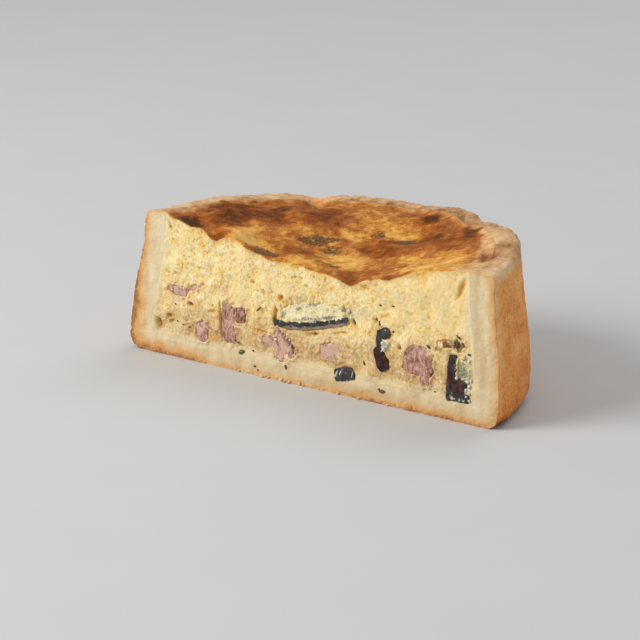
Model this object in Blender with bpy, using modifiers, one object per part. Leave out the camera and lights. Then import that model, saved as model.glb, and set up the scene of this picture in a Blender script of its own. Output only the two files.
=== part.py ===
"""Half of a deep quiche: its pastry case, its baked custard and the pieces that the cut shows.

Metres, +Z up. Everything is shaped about the quiche's own upright axis, with the cut on the
plane y = 0 and the half that is left on the +Y side. It is then set down with the middle of
the underside of its box on the origin, the cut facing -Y.
"""
import math

import bmesh
import bpy
from mathutils import Matrix, Vector, noise

MM = 0.001

# Pastry case
BASE_RADIUS = 79.4 * MM       # widest, low on the wall
RIM_RADIUS = 73.8 * MM
RIM_HEIGHT = 53.6 * MM
WALL_THICKNESS = 9.4 * MM
BASE_THICKNESS = 7.4 * MM
FLARE_START = 5.0 * MM        # height above which the wall leans inwards
FOOT_ROUND = 5.5 * MM         # rounded edge between the wall and the underside
CORNER_ROUND = 4.5 * MM       # rounded corner inside, between wall and base
RIM_ROUND = 2.6 * MM          # rounded outer edge of the rim
SPREAD = 1.8 * MM             # the foot leans out to the left by this, and in on the right

# Swells and notches round the rim: degrees from +X, height, half width in degrees
RIM_WAVES = (
    (40.0, 2.4 * MM, 24.0),
    (63.0, -1.6 * MM, 4.0),
    (74.0, 1.5 * MM, 9.0),
    (89.0, -0.3 * MM, 3.5),
    (122.0, -1.6 * MM, 4.0),
    (152.0, 0.8 * MM, 12.0),
)

# Custard
CENTRE_LEVEL = 43.0 * MM      # sunken middle of the baked top
BANK_RISE = 9.2 * MM          # how far the top climbs towards the rim
BANK_START = 8.0 * MM         # radius at which the climb begins
BANK_WIDTH = 50.0 * MM
TOP_RINGS = 15                # rings of points in the baked top
RING_SPACING = 0.85           # below 1, the rings lie closer together towards the rim
TOP_TILT = 0.03               # the top lies higher on the left, away from the rim
LUMP = 0.8 * MM               # small lumps of the baked top
LUMP_SIZE = 13.0 * MM
# Larger rises and dips of the baked top: place across and back, height, half width
TOP_LUMPS = (
    (-63.0 * MM, 0.0 * MM, 1.4 * MM, 7.0 * MM),
    (-53.0 * MM, 3.0 * MM, -1.6 * MM, 5.0 * MM),
    (-42.5 * MM, 0.0 * MM, -3.4 * MM, 4.5 * MM),
    (-35.0 * MM, 3.0 * MM, 1.8 * MM, 5.0 * MM),
    (-7.0 * MM, 5.0 * MM, 2.4 * MM, 9.0 * MM),
    (16.0 * MM, 1.0 * MM, -1.8 * MM, 4.0 * MM),
    (45.0 * MM, 4.0 * MM, 2.4 * MM, 8.0 * MM),
    (60.0 * MM, 2.0 * MM, 1.3 * MM, 8.0 * MM),
    (-22.0 * MM, 34.0 * MM, 1.6 * MM, 10.0 * MM),
    (12.0 * MM, 44.0 * MM, -1.4 * MM, 9.0 * MM),
    (-50.0 * MM, 20.0 * MM, 1.4 * MM, 8.0 * MM),
)

# Relief of the outer wall, and of the two cut faces
WALL_RELIEF = 0.40 * MM
WALL_RELIEF_SIZE = 7.0 * MM
SWELL = 0.55 * MM             # slow unevenness of the wall's radius
SWELL_SIZE = 38.0 * MM
CUSTARD_CUT_RELIEF = 0.75 * MM
PASTRY_CUT_RELIEF = 0.25 * MM
CUT_RELIEF_SIZE = 6.5 * MM
CUT_SET_BACK = 0.5            # of the relief, so that the pieces stand out a little
CUT_FADE = 2.0 * MM           # over which the custard's relief gives way to the pastry's

# Fineness and fits
TURN_STEPS = 72
KNIFE_STEP = 4.4 * MM
KNIFE_MARGIN = 12.0 * MM      # how far the block that cuts the quiche reaches past its sides
KNIFE_BELOW = 8.0 * MM
KNIFE_ABOVE = 14.0 * MM
GAP = 0.3 * MM                # between the custard and the case
POCKET_GAP = 0.4 * MM         # round each piece set in the custard
MERGE = 0.00001
SCRAP_NECK = 0.05 * MM        # a crumb that hangs on by less than this is loose
CREASE = 50.0                 # degrees; sharper edges than this are shaded as creases

# Where the quiche's axis stands, so that the half's box is centred on the origin
AXIS_PLACE = (1.9 * MM, -39.4 * MM, 0.0)

# The pieces in the cut. Each is one lump or several fused ones, in millimetres and degrees:
# place along the cut, height of its middle, width, height, depth, turn, bend, taper
PIECES = {
    "ham_1": ("ham", ((-58.4, 25.6, 9.2, 4.6, 7.0, -4.0, 0.0, 0.2),
                      (-52.2, 27.8, 6.4, 2.6, 5.0, 24.0, 0.0, 0.2))),
    "ham_2": ("ham", ((-47.8, 12.0, 6.8, 8.8, 8.0, 0.0, 0.0, 0.0),
                      (-43.8, 13.9, 4.0, 1.8, 5.0, -8.0, 0.0, 0.0))),
    "ham_3": ("ham", ((-35.6, 17.4, 6.0, 16.8, 9.0, 4.0, 0.0, -0.22),
                      (-30.8, 21.2, 6.0, 6.6, 6.0, 10.0, 0.0, 0.1))),
    "ham_4": ("ham", ((-18.0, 13.6, 6.0, 6.4, 7.0, 14.0, 0.0, 0.0),
                      (-12.6, 11.8, 8.0, 10.0, 6.0, 30.0, 0.0, 0.0),
                      (-12.8, 17.8, 5.0, 5.0, 5.0, -10.0, 0.0, 0.0),
                      (-8.6, 12.6, 5.4, 9.0, 8.0, 26.0, 0.6, 0.0))),
    "ham_5": ("ham", ((8.6, 15.2, 10.0, 6.6, 7.0, 4.0, 0.0, -0.15),)),
    "ham_6": ("ham", ((45.0, 19.0, 13.0, 11.0, 11.0, 8.0, 0.0, -0.1),
                      (47.8, 12.6, 3.4, 6.0, 6.0, 14.0, 0.0, 0.0))),
    "ham_7": ("ham_fat", ((55.6, 26.6, 8.4, 3.6, 6.0, 8.0, 0.6, 0.0),
                          (60.6, 27.2, 4.6, 5.4, 5.0, 22.0, 0.0, 0.0))),
    "aubergine_1": ("aubergine", ((0.2, 24.7, 32.4, 2.8, 8.0, 12.0, -1.4, 0.0),)),
    "aubergine_2": ("aubergine", ((14.8, 7.9, 8.6, 4.8, 8.0, 10.0, 0.0, 0.0),)),
    "aubergine_3": ("aubergine", ((31.0, 26.2, 4.6, 4.0, 5.0, 20.0, 0.0, 0.0),
                                  (28.7, 21.6, 2.4, 9.4, 5.0, 6.0, 0.6, 0.0),
                                  (30.0, 16.2, 6.2, 6.6, 7.0, -24.0, 0.0, 0.0))),
    "aubergine_4": ("aubergine", ((58.4, 15.4, 3.4, 16.4, 7.0, -2.0, 0.0, 0.0),
                                  (61.4, 8.9, 8.8, 3.4, 7.0, 0.0, 0.0, 0.0),
                                  (61.2, 12.8, 6.2, 5.6, 6.0, -22.0, 0.0, 0.0))),
    "blue_cheese_1": ("blue_cheese", ((0.4, 28.0, 28.6, 7.0, 8.0, 10.0, 0.0, 0.0),)),
    "blue_cheese_2": ("blue_cheese", ((62.9, 19.4, 5.0, 8.0, 6.0, 0.0, 0.0, 0.0),)),
}
PROUD = 0.5 * MM              # how far the pieces stand out of the cut face
LUMP_LEAD = 6.0 * MM          # how far each lump runs out before it is trimmed
LUMP_CUTS = 2                 # divisions of each edge of a lump
LONG_LUMP_CUTS = 3            # and of one that is longer than this
LONG_LUMP = 12.0
LUMP_SQUARENESS = 4.5         # 2 is an ellipsoid, more is squarer
LUMP_ROUGHNESS = 0.07         # of the lump's smaller side
LUMP_GRAIN = 4.0 * MM
# Where one piece lies against another, the second is cut back to clear the first
CUT_BACK = (("blue_cheese_1", "aubergine_1"), ("blue_cheese_2", "aubergine_4"))

# Colour, roughness
FINISHES = {
    "pastry": ((0.72, 0.47, 0.24), 0.85),
    "custard": ((0.86, 0.70, 0.36), 0.70),
    "ham": ((0.52, 0.28, 0.28), 0.50),
    "ham_fat": ((0.48, 0.30, 0.16), 0.50),
    "aubergine": ((0.035, 0.022, 0.030), 0.40),
    "blue_cheese": ((0.72, 0.74, 0.64), 0.60),
}


def smooth(value):
    """Eases from 0 to 1 as the value goes from 0 to 1."""
    value = min(max(value, 0.0), 1.0)
    return value * value * (3.0 - 2.0 * value)


def ripple(x, y, z, size, seed=0.0):
    """Smooth unevenness between about -1 and 1, with features of the given size."""
    return 1.6 * noise.noise(Vector((x / size + seed, y / size - seed, z / size + 2.0 * seed)))


def clear_scene():
    for thing in list(bpy.data.objects):
        bpy.data.objects.remove(thing, do_unlink=True)


def collection(name):
    group = bpy.data.collections.new(name)
    bpy.context.scene.collection.children.link(group)
    return group


def finish(name):
    """The Principled material of one of the foods."""
    made = bpy.data.materials.get(name)
    if made is None:
        colour, roughness = FINISHES[name]
        made = bpy.data.materials.new(name)
        made.use_nodes = True
        shader = made.node_tree.nodes["Principled BSDF"]
        shader.inputs["Base Color"].default_value = (*colour, 1.0)
        shader.inputs["Roughness"].default_value = roughness
    return made


def outer_radius(height):
    """The case's outside before it is made uneven."""
    lean = smooth((height - FLARE_START) / (RIM_HEIGHT - FLARE_START))
    return BASE_RADIUS - (BASE_RADIUS - RIM_RADIUS) * lean


def arc(middle, radius, start, end, steps):
    """Points of an arc in the turned profile, from one angle to another in degrees."""
    turns = [math.radians(start + (end - start) * i / steps) for i in range(steps + 1)]
    return [(middle[0] + radius * math.cos(t), middle[1] + radius * math.sin(t)) for t in turns]


def inside_wall(gap):
    """The case's inside, from its base's middle out and up, moved inwards by a gap."""
    floor = BASE_THICKNESS + gap
    bend = CORNER_ROUND - gap
    corner = (outer_radius(floor) - WALL_THICKNESS - CORNER_ROUND, BASE_THICKNESS + CORNER_ROUND)
    points = [(0.0, floor)]
    points += [(corner[0] * part, floor) for part in (0.35, 0.7)]
    points += arc(corner, bend, -90.0, -8.0, 3)
    heights = [corner[1] + (RIM_HEIGHT - corner[1]) * step / 7 for step in range(1, 7)]
    return points + [(outer_radius(height) - WALL_THICKNESS - gap, height) for height in heights]


def case_profile():
    """The pastry case: over its inside, its rim, down its outside and back under."""
    points = inside_wall(0.0)
    inner = outer_radius(RIM_HEIGHT) - WALL_THICKNESS
    points.append((inner + 0.2 * MM, RIM_HEIGHT - 0.9 * MM))
    points.append((inner + 1.6 * MM, RIM_HEIGHT + 0.1 * MM))
    points.append((RIM_RADIUS - RIM_ROUND - 1.6 * MM, RIM_HEIGHT + 0.1 * MM))
    points += arc((RIM_RADIUS - RIM_ROUND, RIM_HEIGHT - RIM_ROUND), RIM_ROUND, 80.0, 10.0, 2)
    low = FOOT_ROUND
    high = RIM_HEIGHT - 2.2 * RIM_ROUND
    for step in range(9):
        height = high + (low - high) * step / 8
        points.append((outer_radius(height), height))
    foot = (outer_radius(0.0) - FOOT_ROUND, FOOT_ROUND)
    points += arc(foot, FOOT_ROUND, -22.0, -90.0, 3)
    return points + [(0.0, 0.0)]


def top_level(radius):
    """The baked top before it is made uneven: sunken in the middle, banked up to the rim."""
    return CENTRE_LEVEL + BANK_RISE * smooth((radius - BANK_START) / BANK_WIDTH)


def custard_profile():
    """The custard: out over its top, down beside the wall and back over the base."""
    side = inside_wall(GAP)
    edge = outer_radius(RIM_HEIGHT) - WALL_THICKNESS - GAP
    rings = [edge * (step / TOP_RINGS) ** RING_SPACING for step in range(TOP_RINGS)]
    top = [(radius, top_level(radius)) for radius in rings]
    top.append((edge - 0.4 * MM, top_level(edge) + 0.2 * MM))
    return top + side[::-1]


def rim_wave(degrees):
    return sum(height * math.exp(-((degrees - place) / width) ** 2)
               for place, height, width in RIM_WAVES)


def top_lumps(x, y):
    return sum(height * math.exp(-((x - across) ** 2 + (y - back) ** 2) / width ** 2)
               for across, back, height, width in TOP_LUMPS)


def uneven(point):
    """Makes the turned shape uneven, by one smooth shift that all the solids share."""
    x, y, z = point
    radius = math.hypot(x, y)
    if radius < MERGE:
        direction = Vector((1.0, 0.0, 0.0))
    else:
        direction = Vector((x / radius, y / radius, 0.0))
    degrees = abs(math.degrees(math.atan2(y, x)))
    out = radius / BASE_RADIUS
    outside = smooth((radius - outer_radius(z) + 0.45 * WALL_THICKNESS) / (0.3 * WALL_THICKNESS))
    shift = -SPREAD * direction.x * out * (1.0 - smooth(z / RIM_HEIGHT))
    shift += SWELL * out * ripple(x, y, z, SWELL_SIZE, 3.0)
    shift += WALL_RELIEF * outside * ripple(x, y, z, WALL_RELIEF_SIZE, 5.0)
    high = smooth((z - 0.55 * RIM_HEIGHT) / (0.3 * RIM_HEIGHT))
    near_rim = smooth((radius - 0.6 * RIM_RADIUS) / (0.25 * RIM_RADIUS))
    within = 1.0 - smooth((radius - 0.55 * RIM_RADIUS) / (0.28 * RIM_RADIUS))
    lift = high * near_rim * rim_wave(degrees)
    lift += high * within * (LUMP * ripple(x, y, 0.0, LUMP_SIZE, 11.0) - TOP_TILT * x)
    lift += high * top_lumps(x, y)
    place = direction * (radius + shift)
    return Vector((place.x, place.y, z + lift))


def turned(name, points, group, material):
    """One uneven solid turned from a profile, as a plain mesh."""
    mesh = bpy.data.meshes.new(name)
    edges = [(i, i + 1) for i in range(len(points) - 1)]
    mesh.from_pydata([(r, 0.0, z) for r, z in points], edges, [])
    thing = bpy.data.objects.new(name, mesh)
    group.objects.link(thing)
    screw = thing.modifiers.new("turn", "SCREW")
    screw.steps = TURN_STEPS
    screw.render_steps = TURN_STEPS
    screw.use_merge_vertices = True
    screw.merge_threshold = MERGE
    make_plain(thing)
    for vertex in thing.data.vertices:
        vertex.co = uneven(vertex.co)
    thing.data.materials.append(finish(material))
    return thing


def make_plain(thing):
    """Turns an object's modifiers into its mesh."""
    bpy.context.view_layer.update()
    graph = bpy.context.evaluated_depsgraph_get()
    mesh = bpy.data.meshes.new_from_object(thing.evaluated_get(graph))
    thing.modifiers.clear()
    thing.data = mesh


def hide(thing):
    thing.hide_render = True
    thing.display_type = "WIRE"


def combine(thing, other, operation, solver="EXACT"):
    """Cuts another object out of a thing, or fuses it on."""
    cut = thing.modifiers.new(operation.lower(), "BOOLEAN")
    cut.object = other
    cut.operation = operation
    cut.solver = solver
    make_plain(thing)


def drop_scraps(thing):
    """Leaves only a cut piece's main body, without the crumbs that the cuts set loose."""
    shape = bmesh.new()
    shape.from_mesh(thing.data)
    bmesh.ops.triangulate(shape, faces=list(shape.faces))
    bmesh.ops.dissolve_degenerate(shape, dist=SCRAP_NECK, edges=list(shape.edges))
    bmesh.ops.remove_doubles(shape, verts=list(shape.verts), dist=SCRAP_NECK)
    unseen = set(shape.faces)
    bodies = []
    while unseen:
        body = {unseen.pop()}
        front = set(body)
        while front:
            edges = {edge for face in front for edge in face.edges if len(edge.link_faces) == 2}
            front = {face for edge in edges for face in edge.link_faces} - body
            body |= front
        unseen -= body
        bodies.append(body)
    bodies.sort(key=len)
    loose = [face for body in bodies[:-1] for face in body]
    bmesh.ops.delete(shape, geom=loose, context="FACES")
    shape.to_mesh(thing.data)
    shape.free()


def cut_depth(x, z):
    """How far the crumbly cut face lies behind its plane at a place."""
    inner = outer_radius(z) - WALL_THICKNESS
    in_custard = smooth((inner - abs(x)) / CUT_FADE) * smooth((z - BASE_THICKNESS) / CUT_FADE)
    depth = PASTRY_CUT_RELIEF + (CUSTARD_CUT_RELIEF - PASTRY_CUT_RELIEF) * in_custard
    return depth * (CUT_SET_BACK + ripple(x, 0.0, z, CUT_RELIEF_SIZE, 17.0))


def make_knife(group):
    """The block that takes the missing half away, with a crumbly front."""
    half_width = BASE_RADIUS + KNIFE_MARGIN
    low, high = -KNIFE_BELOW, RIM_HEIGHT + KNIFE_ABOVE
    columns = round(2.0 * half_width / KNIFE_STEP)
    rows = round((high - low) / KNIFE_STEP)
    shape = bmesh.new()
    bmesh.ops.create_grid(shape, x_segments=columns, y_segments=rows, size=1.0)
    for vertex in shape.verts:
        x = vertex.co.x * half_width
        z = low + (high - low) * (vertex.co.y + 1.0) / 2.0
        vertex.co = (x, cut_depth(x, z), z)
    block = bmesh.ops.extrude_face_region(shape, geom=list(shape.faces))
    for part in block["geom"]:
        if isinstance(part, bmesh.types.BMVert):
            part.co.y = -BASE_RADIUS - KNIFE_MARGIN
    bmesh.ops.recalc_face_normals(shape, faces=list(shape.faces))
    knife = mesh_object("knife", shape, group)
    hide(knife)
    return knife


def mesh_object(name, shape, group):
    mesh = bpy.data.meshes.new(name)
    shape.to_mesh(mesh)
    shape.free()
    thing = bpy.data.objects.new(name, mesh)
    group.objects.link(thing)
    return thing


def make_lump(name, sizes, group, seed):
    """A rounded, uneven box that runs out through the cut face, for the knife to trim."""
    x, z, width, height, depth, turn, bend, taper = sizes
    half = Vector((width * MM, depth * MM + LUMP_LEAD, height * MM)) / 2.0
    rough = LUMP_ROUGHNESS * min(width, height) * MM
    shape = bmesh.new()
    bmesh.ops.create_cube(shape, size=2.0)
    cuts = LONG_LUMP_CUTS if max(width, height) > LONG_LUMP else LUMP_CUTS
    bmesh.ops.subdivide_edges(shape, edges=list(shape.edges), cuts=cuts, use_grid_fill=True)
    for vertex in shape.verts:
        point = vertex.co
        size = sum(abs(part) ** LUMP_SQUARENESS for part in point) ** (1.0 / LUMP_SQUARENESS)
        point = point / size
        across = point.x * (1.0 + taper * point.z)
        placed = Vector((across * half.x, point.y * half.y, point.z * half.z))
        placed.z += bend * MM * (1.0 - point.x * point.x)
        shake = [ripple(*placed, LUMP_GRAIN, seed + 3.0 * axis) for axis in range(3)]
        vertex.co = placed + Vector(shake) * rough
    bmesh.ops.rotate(shape, verts=list(shape.verts), cent=(0.0, 0.0, 0.0),
                     matrix=Matrix.Rotation(-math.radians(turn), 3, "Y"))
    place = Vector((x * MM, half.y - LUMP_LEAD, z * MM))
    bmesh.ops.translate(shape, verts=list(shape.verts), vec=place)
    return mesh_object(name, shape, group)


def swollen(lump, group):
    """A copy of a lump grown by the pocket's gap."""
    shape = bmesh.new()
    shape.from_mesh(lump.data)
    shape.normal_update()
    for vertex in shape.verts:
        vertex.co += vertex.normal * POCKET_GAP
    return mesh_object(lump.name + "_room", shape, group)


def make_piece(name, group, cutters, seed):
    """One piece of filling, fused from its lumps, and the room that it needs."""
    material, lumps = PIECES[name]
    piece = make_lump(name, lumps[0], group, seed)
    room = swollen(piece, cutters)
    for number, sizes in enumerate(lumps[1:]):
        lump = make_lump(name + "_lump", sizes, group, seed + number + 1.0)
        extra = swollen(lump, cutters)
        combine(piece, lump, "UNION", "MANIFOLD")
        combine(room, extra, "UNION", "MANIFOLD")
        bpy.data.objects.remove(lump, do_unlink=True)
        bpy.data.objects.remove(extra, do_unlink=True)
    piece.data.materials.clear()
    piece.data.materials.append(finish(material))
    hide(room)
    return piece, room


def make_pieces(group, cutters, knife):
    """The pieces of filling, trimmed by the knife, and the rooms that the custard leaves."""
    pieces, rooms = {}, {}
    for number, name in enumerate(PIECES):
        pieces[name], rooms[name] = make_piece(name, group, cutters, 7.0 * number)
    knife.location.y = -PROUD
    for piece in pieces.values():
        combine(piece, knife, "DIFFERENCE", "MANIFOLD")
    for back, front in CUT_BACK:
        combine(pieces[back], rooms[front], "DIFFERENCE", "MANIFOLD")
    return pieces, rooms


def main():
    clear_scene()
    quiche = collection("quiche")
    cutters = collection("cutters")
    crust = turned("crust", case_profile(), quiche, "pastry")
    custard = turned("custard", custard_profile(), quiche, "custard")
    knife = make_knife(cutters)
    combine(crust, knife, "DIFFERENCE")
    combine(custard, knife, "DIFFERENCE")
    pieces, rooms = make_pieces(quiche, cutters, knife)
    hollow, *others = rooms.values()
    for room in others:
        combine(hollow, room, "UNION", "MANIFOLD")
    combine(custard, hollow, "DIFFERENCE", "MANIFOLD")
    combine(crust, hollow, "DIFFERENCE", "MANIFOLD")
    solids = (crust, custard, *pieces.values())
    for solid in solids:
        drop_scraps(solid)
    axis = bpy.data.objects.new("quiche_axis", None)
    quiche.objects.link(axis)
    axis.location = AXIS_PLACE
    for solid in solids:
        solid.parent = axis
        solid.data.set_sharp_from_angle(angle=math.radians(CREASE))
    bpy.context.view_layer.update()


main()
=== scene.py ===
"""Half of a deep quiche, as it looks: crumbly cut, browned top, sandy pastry and its filling.

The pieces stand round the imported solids. Shapes are worked out in millimetres about the
quiche's own upright axis, with the cut on the plane y = 0 facing -Y, and become metres when
a mesh is made.
"""
import math

import bmesh
import bpy
import numpy as np
from mathutils import Matrix, Vector, noise


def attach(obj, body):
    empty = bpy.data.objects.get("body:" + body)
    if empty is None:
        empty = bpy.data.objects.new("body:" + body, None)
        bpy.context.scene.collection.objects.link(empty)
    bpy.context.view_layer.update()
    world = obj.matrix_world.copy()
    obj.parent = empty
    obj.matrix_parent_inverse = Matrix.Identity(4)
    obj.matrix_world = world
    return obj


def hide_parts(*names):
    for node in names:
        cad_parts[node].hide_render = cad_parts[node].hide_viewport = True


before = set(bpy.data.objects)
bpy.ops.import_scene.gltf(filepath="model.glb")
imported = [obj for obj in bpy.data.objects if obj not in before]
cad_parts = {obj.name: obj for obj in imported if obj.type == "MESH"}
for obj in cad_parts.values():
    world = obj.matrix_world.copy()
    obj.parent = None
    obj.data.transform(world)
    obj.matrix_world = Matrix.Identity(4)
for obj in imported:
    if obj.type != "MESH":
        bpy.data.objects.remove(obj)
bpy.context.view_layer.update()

MM = 0.001
SHARP_EDGE = 62             # degrees from which an edge isn't shaded smooth
AXIS_PLACE = (1.9 * MM, -39.4 * MM, 0)

# Pastry case
BASE_RADIUS = 79.4
RIM_RADIUS = 73.8
RIM_HEIGHT = 53.6
WALL_THICKNESS = 9.4
RIM_INNER = RIM_RADIUS - WALL_THICKNESS
BASE_THICKNESS = 7.4
FLARE_START = 5
FOOT_ROUND = 5.5
CORNER_ROUND = 4.5
RIM_ROUND = 2.6
WALL_RINGS = 14
SPREAD = 1.8                # how far the foot stands off to the left of the rim
# Waves of the rim: degrees round from the right of the cut, rise, width
RIM_WAVES = ((40, 2.4, 24), (63, -1.6, 4), (74, 1.5, 9), (89, -0.3, 3.5), (122, -1.6, 4), (152, 0.8, 12))
WALL_RELIEF = 0.4
WALL_RELIEF_SIZE = 7
SWELL = 0.55                # slow swelling of the whole case and custard
SWELL_SIZE = 38

# Custard
CENTRE_LEVEL = 43
BANK_RISE = 9.2
BANK_START = 8
BANK_WIDTH = 50
TOP_TILT = 0.03             # fall of the middle of the top towards the right, per millimetre
LUMP = 0.8
LUMP_SIZE = 13
# Lumps of the top: place across, place back, rise, width
TOP_LUMPS = (
    (-63, 0, 1.4, 7), (-53, 3, -1.6, 5), (-42.5, 0, -3.4, 4.5), (-35, 3, 1.8, 5), (-7, 5, 2.4, 9),
    (16, 1, -1.8, 4), (45, 4, 2.4, 8), (60, 2, 1.3, 8), (-22, 34, 1.6, 10), (12, 44, -1.4, 9),
    (-50, 20, 1.4, 8),
)
TOP_FOLD = ((-50.5, 26.6, 11, 1.4, 2, 0.9),)
SEAM = 0.02         # between custard and pastry, too thin to show
LIP = 0.25          # how far the rim's inner edge and the skin lie below the rim
CALM_EDGE = 3.4     # width of the band by the case where the crumb grows finer

# Cut face
CUSTARD_CUT_RELIEF = 0.55
PASTRY_CUT_RELIEF = 0.25
CUT_RELIEF_SIZE = 6.5
CUT_SET_BACK = 0.5          # share of the relief by which the whole face lies back

# Fineness of the cut face, the baked top, the pastry's outside and the hidden side of the custard
CUT_STEP = 0.3
TOP_STEP = 0.5
WALL_STEP = 0.7
PLUG_STEP = 2.4

# Spans and far sides of the blocks that trim the shapes
CUT_WIDE = (-84, 84)
CUT_HIGH = (-2, 60)
FILLING_WIDE = (-68, 70)
FILLING_HIGH = (1, 36)
TOP_WIDE = (-68, 68)
TOP_BACK = (-4, 68)
KNIFE_REACH = 12
LID_REACH = 20
PLUG_REACH = 8

# Filling: place along the cut, height of its middle, width, height, depth, turn, bend, taper
PIECES = {
    "ham_1": ((-58.4, 25.6, 9.2, 4.6, 7, -4, 0, 0.2),
              (-52.2, 27.8, 6.4, 2.6, 5, 24, 0, 0.2)),
    "ham_2": ((-47.8, 12, 6.8, 8.8, 8, 0, 0, 0),
              (-43.8, 13.9, 4, 1.8, 5, -8, 0, 0)),
    "ham_3": ((-35.8, 17.2, 6.2, 17.2, 9, 4, 0, -0.28),
              (-30.8, 21.2, 6, 6.6, 6, 10, 0, 0.1)),
    "ham_4": ((-18, 14, 6, 6, 7, 24, 0, 0),
              (-12.6, 11.8, 8, 10.4, 6, 34, 0, 0),
              (-13, 17.4, 6.4, 5, 5, -24, 0, 0),
              (-8.6, 12.6, 5.4, 9, 8, 26, 0.6, 0)),
    "ham_5": ((8.6, 15.2, 10, 6.6, 7, 4, 0, -0.15),),
    "ham_6": ((45, 18.8, 12.6, 11.6, 11, -4, 0, -0.26),
              (47.8, 12.4, 4, 6.2, 6, 14, 0, 0.2)),
    "ham_7": ((56, 26.5, 9.2, 3.8, 6, 11, 0.6, 0),
              (60.7, 27, 4.6, 5.4, 5, -20, 0, 0)),
    "aubergine_1": ((0.2, 24.7, 32.4, 2.8, 8, 12, -1.4, 0),),
    "aubergine_2": ((14.8, 7.9, 8.4, 4.8, 8, 14, 0, 0),),
    "aubergine_3": ((31, 26.2, 4.8, 4, 5, 20, 0, 0),
                    (28.8, 21.6, 1.7, 9.6, 5, 6, 0.4, 0.1),
                    (29.7, 16.4, 4.6, 8.8, 7, 25, 0, 0)),
    "aubergine_4": ((58.4, 15.4, 3.4, 16.4, 7, -2, 0, 0),
                    (61.4, 8.9, 8.8, 3.4, 7, 0, 0, 0),
                    (61.2, 12.8, 6.2, 5.6, 6, -22, 0, 0)),
    "blue_cheese_1": ((0.4, 28, 28.6, 7, 8, 10, 0, 0),),
    "blue_cheese_2": ((62.9, 19.4, 5, 8, 6, 0, 0, 0),),
}
AUBERGINES = tuple(name for name in PIECES if name.startswith("aubergine"))
SOFT_PIECES = tuple(name for name in PIECES if not name.startswith("aubergine"))
HAMS = tuple(name for name in PIECES if name.startswith("ham"))
# Pieces whose tone, edge or outline differs from the others of their kind
PALER = {"ham_1": -0.1, "ham_4": -0.1, "ham_5": -0.12}
FLOURY = ("ham_4", "ham_5", "ham_7")
LUMP_LEAD = 6
SQUARENESS = {"ham": 3.4, "ham_2": 2.5, "ham_3": 6, "ham_4": 2.6, "ham_7": 3.2,
              "aubergine": 8, "aubergine_3": 3, "blue": 2.8}
ROUGHER = {"ham_4": 1.8, "ham_7": 2, "blue_cheese_1": 2, "blue_cheese_2": 1.8}
LUMP_CUTS = 24
LUMP_ROUGHNESS = 0.07
LUMP_GRAIN = 4
# Finer layers of a lump's roughness: size, own number, amount
LUMP_LAYERS = ((1.7, 90, 0.2), (0.8, 95, 0.1))
PROUD = 0.15        # how far a piece stands out of the custard's cut

# Holes and cracks of the cut: place along, height, half width, half height, turn, depth
SLIT = (61.2, 47.4, 0.95, 3.6, -19, 0.8)
HOLES = (
    (-53.2, 21.5, 1.3, 1, 0, 1.9), (-62.7, 15.5, 0.9, 0.8, 0, 1.2), (-61.5, 13.7, 0.8, 0.6, 0, 1.1),
    (-67.9, 11.4, 1.1, 2.2, 22, 1.8), (-62.3, 50, 0.5, 2.2, 25, 1), (-39.3, 17.4, 0.5, 7.4, 4, 1.3),
    (-21.2, 16.8, 3.8, 0.7, -8, 1.2), (-15.6, 24, 0.8, 3, -6, 1.6), (-13.2, 31, 1.1, 0.9, 30, 1.3),
    (23, 41, 1.6, 1.2, 0, 0.9), (-43, 20.4, 1.7, 0.9, 10, 0.9), (-62.6, 26, 0.7, 1.4, 10, 1.1),
    (37.2, 22, 0.9, 1.2, 0, 1), SLIT, (26.6, 29.6, 0.5, 1, 30, 0.9), (-9, 20, 1.2, 0.6, 0, 0.8),
    (1.5, 20, 2.6, 0.6, 14, 0.9), (12.6, 22.6, 3.2, 0.6, 16, 0.9),
)

# Places where the custard is deeper yellow, those in the holes and cracks of the cut being painted shade:
# place along, height, half sizes, turn, amount
HONEY = (
    (-21.2, 16.9, 4.4, 1, -8, 0.8), (-13.2, 31, 1.5, 1.2, 30, 0.9), (-42.6, 10.6, 2.2, 2.2, 0, 1),
    (-43.2, 20.4, 2, 1.2, 10, 0.6), (46.2, 48, 1.2, 3.2, 8, 0.75), (42, 49.6, 5, 1.6, 6, 0.7),
    (22.4, 41.4, 2.6, 1.4, 0, 0.6), (-15.6, 25, 1.2, 3, -6, 0.5), (-66.8, 12.6, 1, 1.6, 20, 0.5),
    (6, 38.4, 1.8, 2.4, 0, 0.4), (-48, 44.6, 1.4, 2.2, 0, 0.4), (14, 36, 1.4, 1.2, 0, 0.4),
    (57, 27, 5, 2.6, 0, 0.4), (26, 31, 2.6, 1.4, 0, 0.35),
)

# Dark marks that the cheese's mould left on the custard, pink ones of the ham and whitish ones of
# the cheese: place along the cut, height, half sizes, turn, amount
INKY = (
    (-1, 21.8, 9, 0.8, 12, 0.45), (10, 24.4, 4, 0.7, 12, 0.4), (-15.4, 23.2, 0.9, 3, -6, 0.9),
    (-14, 26.4, 2.2, 0.5, 40, 0.6), (-8, 31, 5, 1.3, 20, 0.4), (-3, 32.8, 4.4, 1.1, 16, 0.36),
    (3, 33, 4, 0.4, 16, 0.35), (15.4, 30.4, 1.3, 2.4, -10, 0.9), (6, 30.6, 3, 0.5, 20, 0.4),
    (17.8, 27.4, 0.6, 1.4, 30, 0.6), (38, 19.6, 0.6, 2, 0, 0.3), (33, 24, 0.7, 1.4, 20, 0.5),
    (27.6, 29.4, 0.5, 1.2, 20, 0.7), (65.6, 16, 0.7, 5, 0, 0.4), (52.4, 24.6, 2.4, 0.7, -10, 0.5),
    (-42.2, 10.4, 0.7, 0.6, 0, 0.4),
)
STAINED = ((-12, 8.6, 9, 2.4, 0, 0.5), (-50, 10, 6, 1.6, 0, 0.3))
WHITISH = ((31, 21.8, 2.4, 1.9, 0, 0.8), (64.5, 13, 1.6, 3, 0, 0.8), (20, 31, 4, 3, 0, 0.3))
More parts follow.
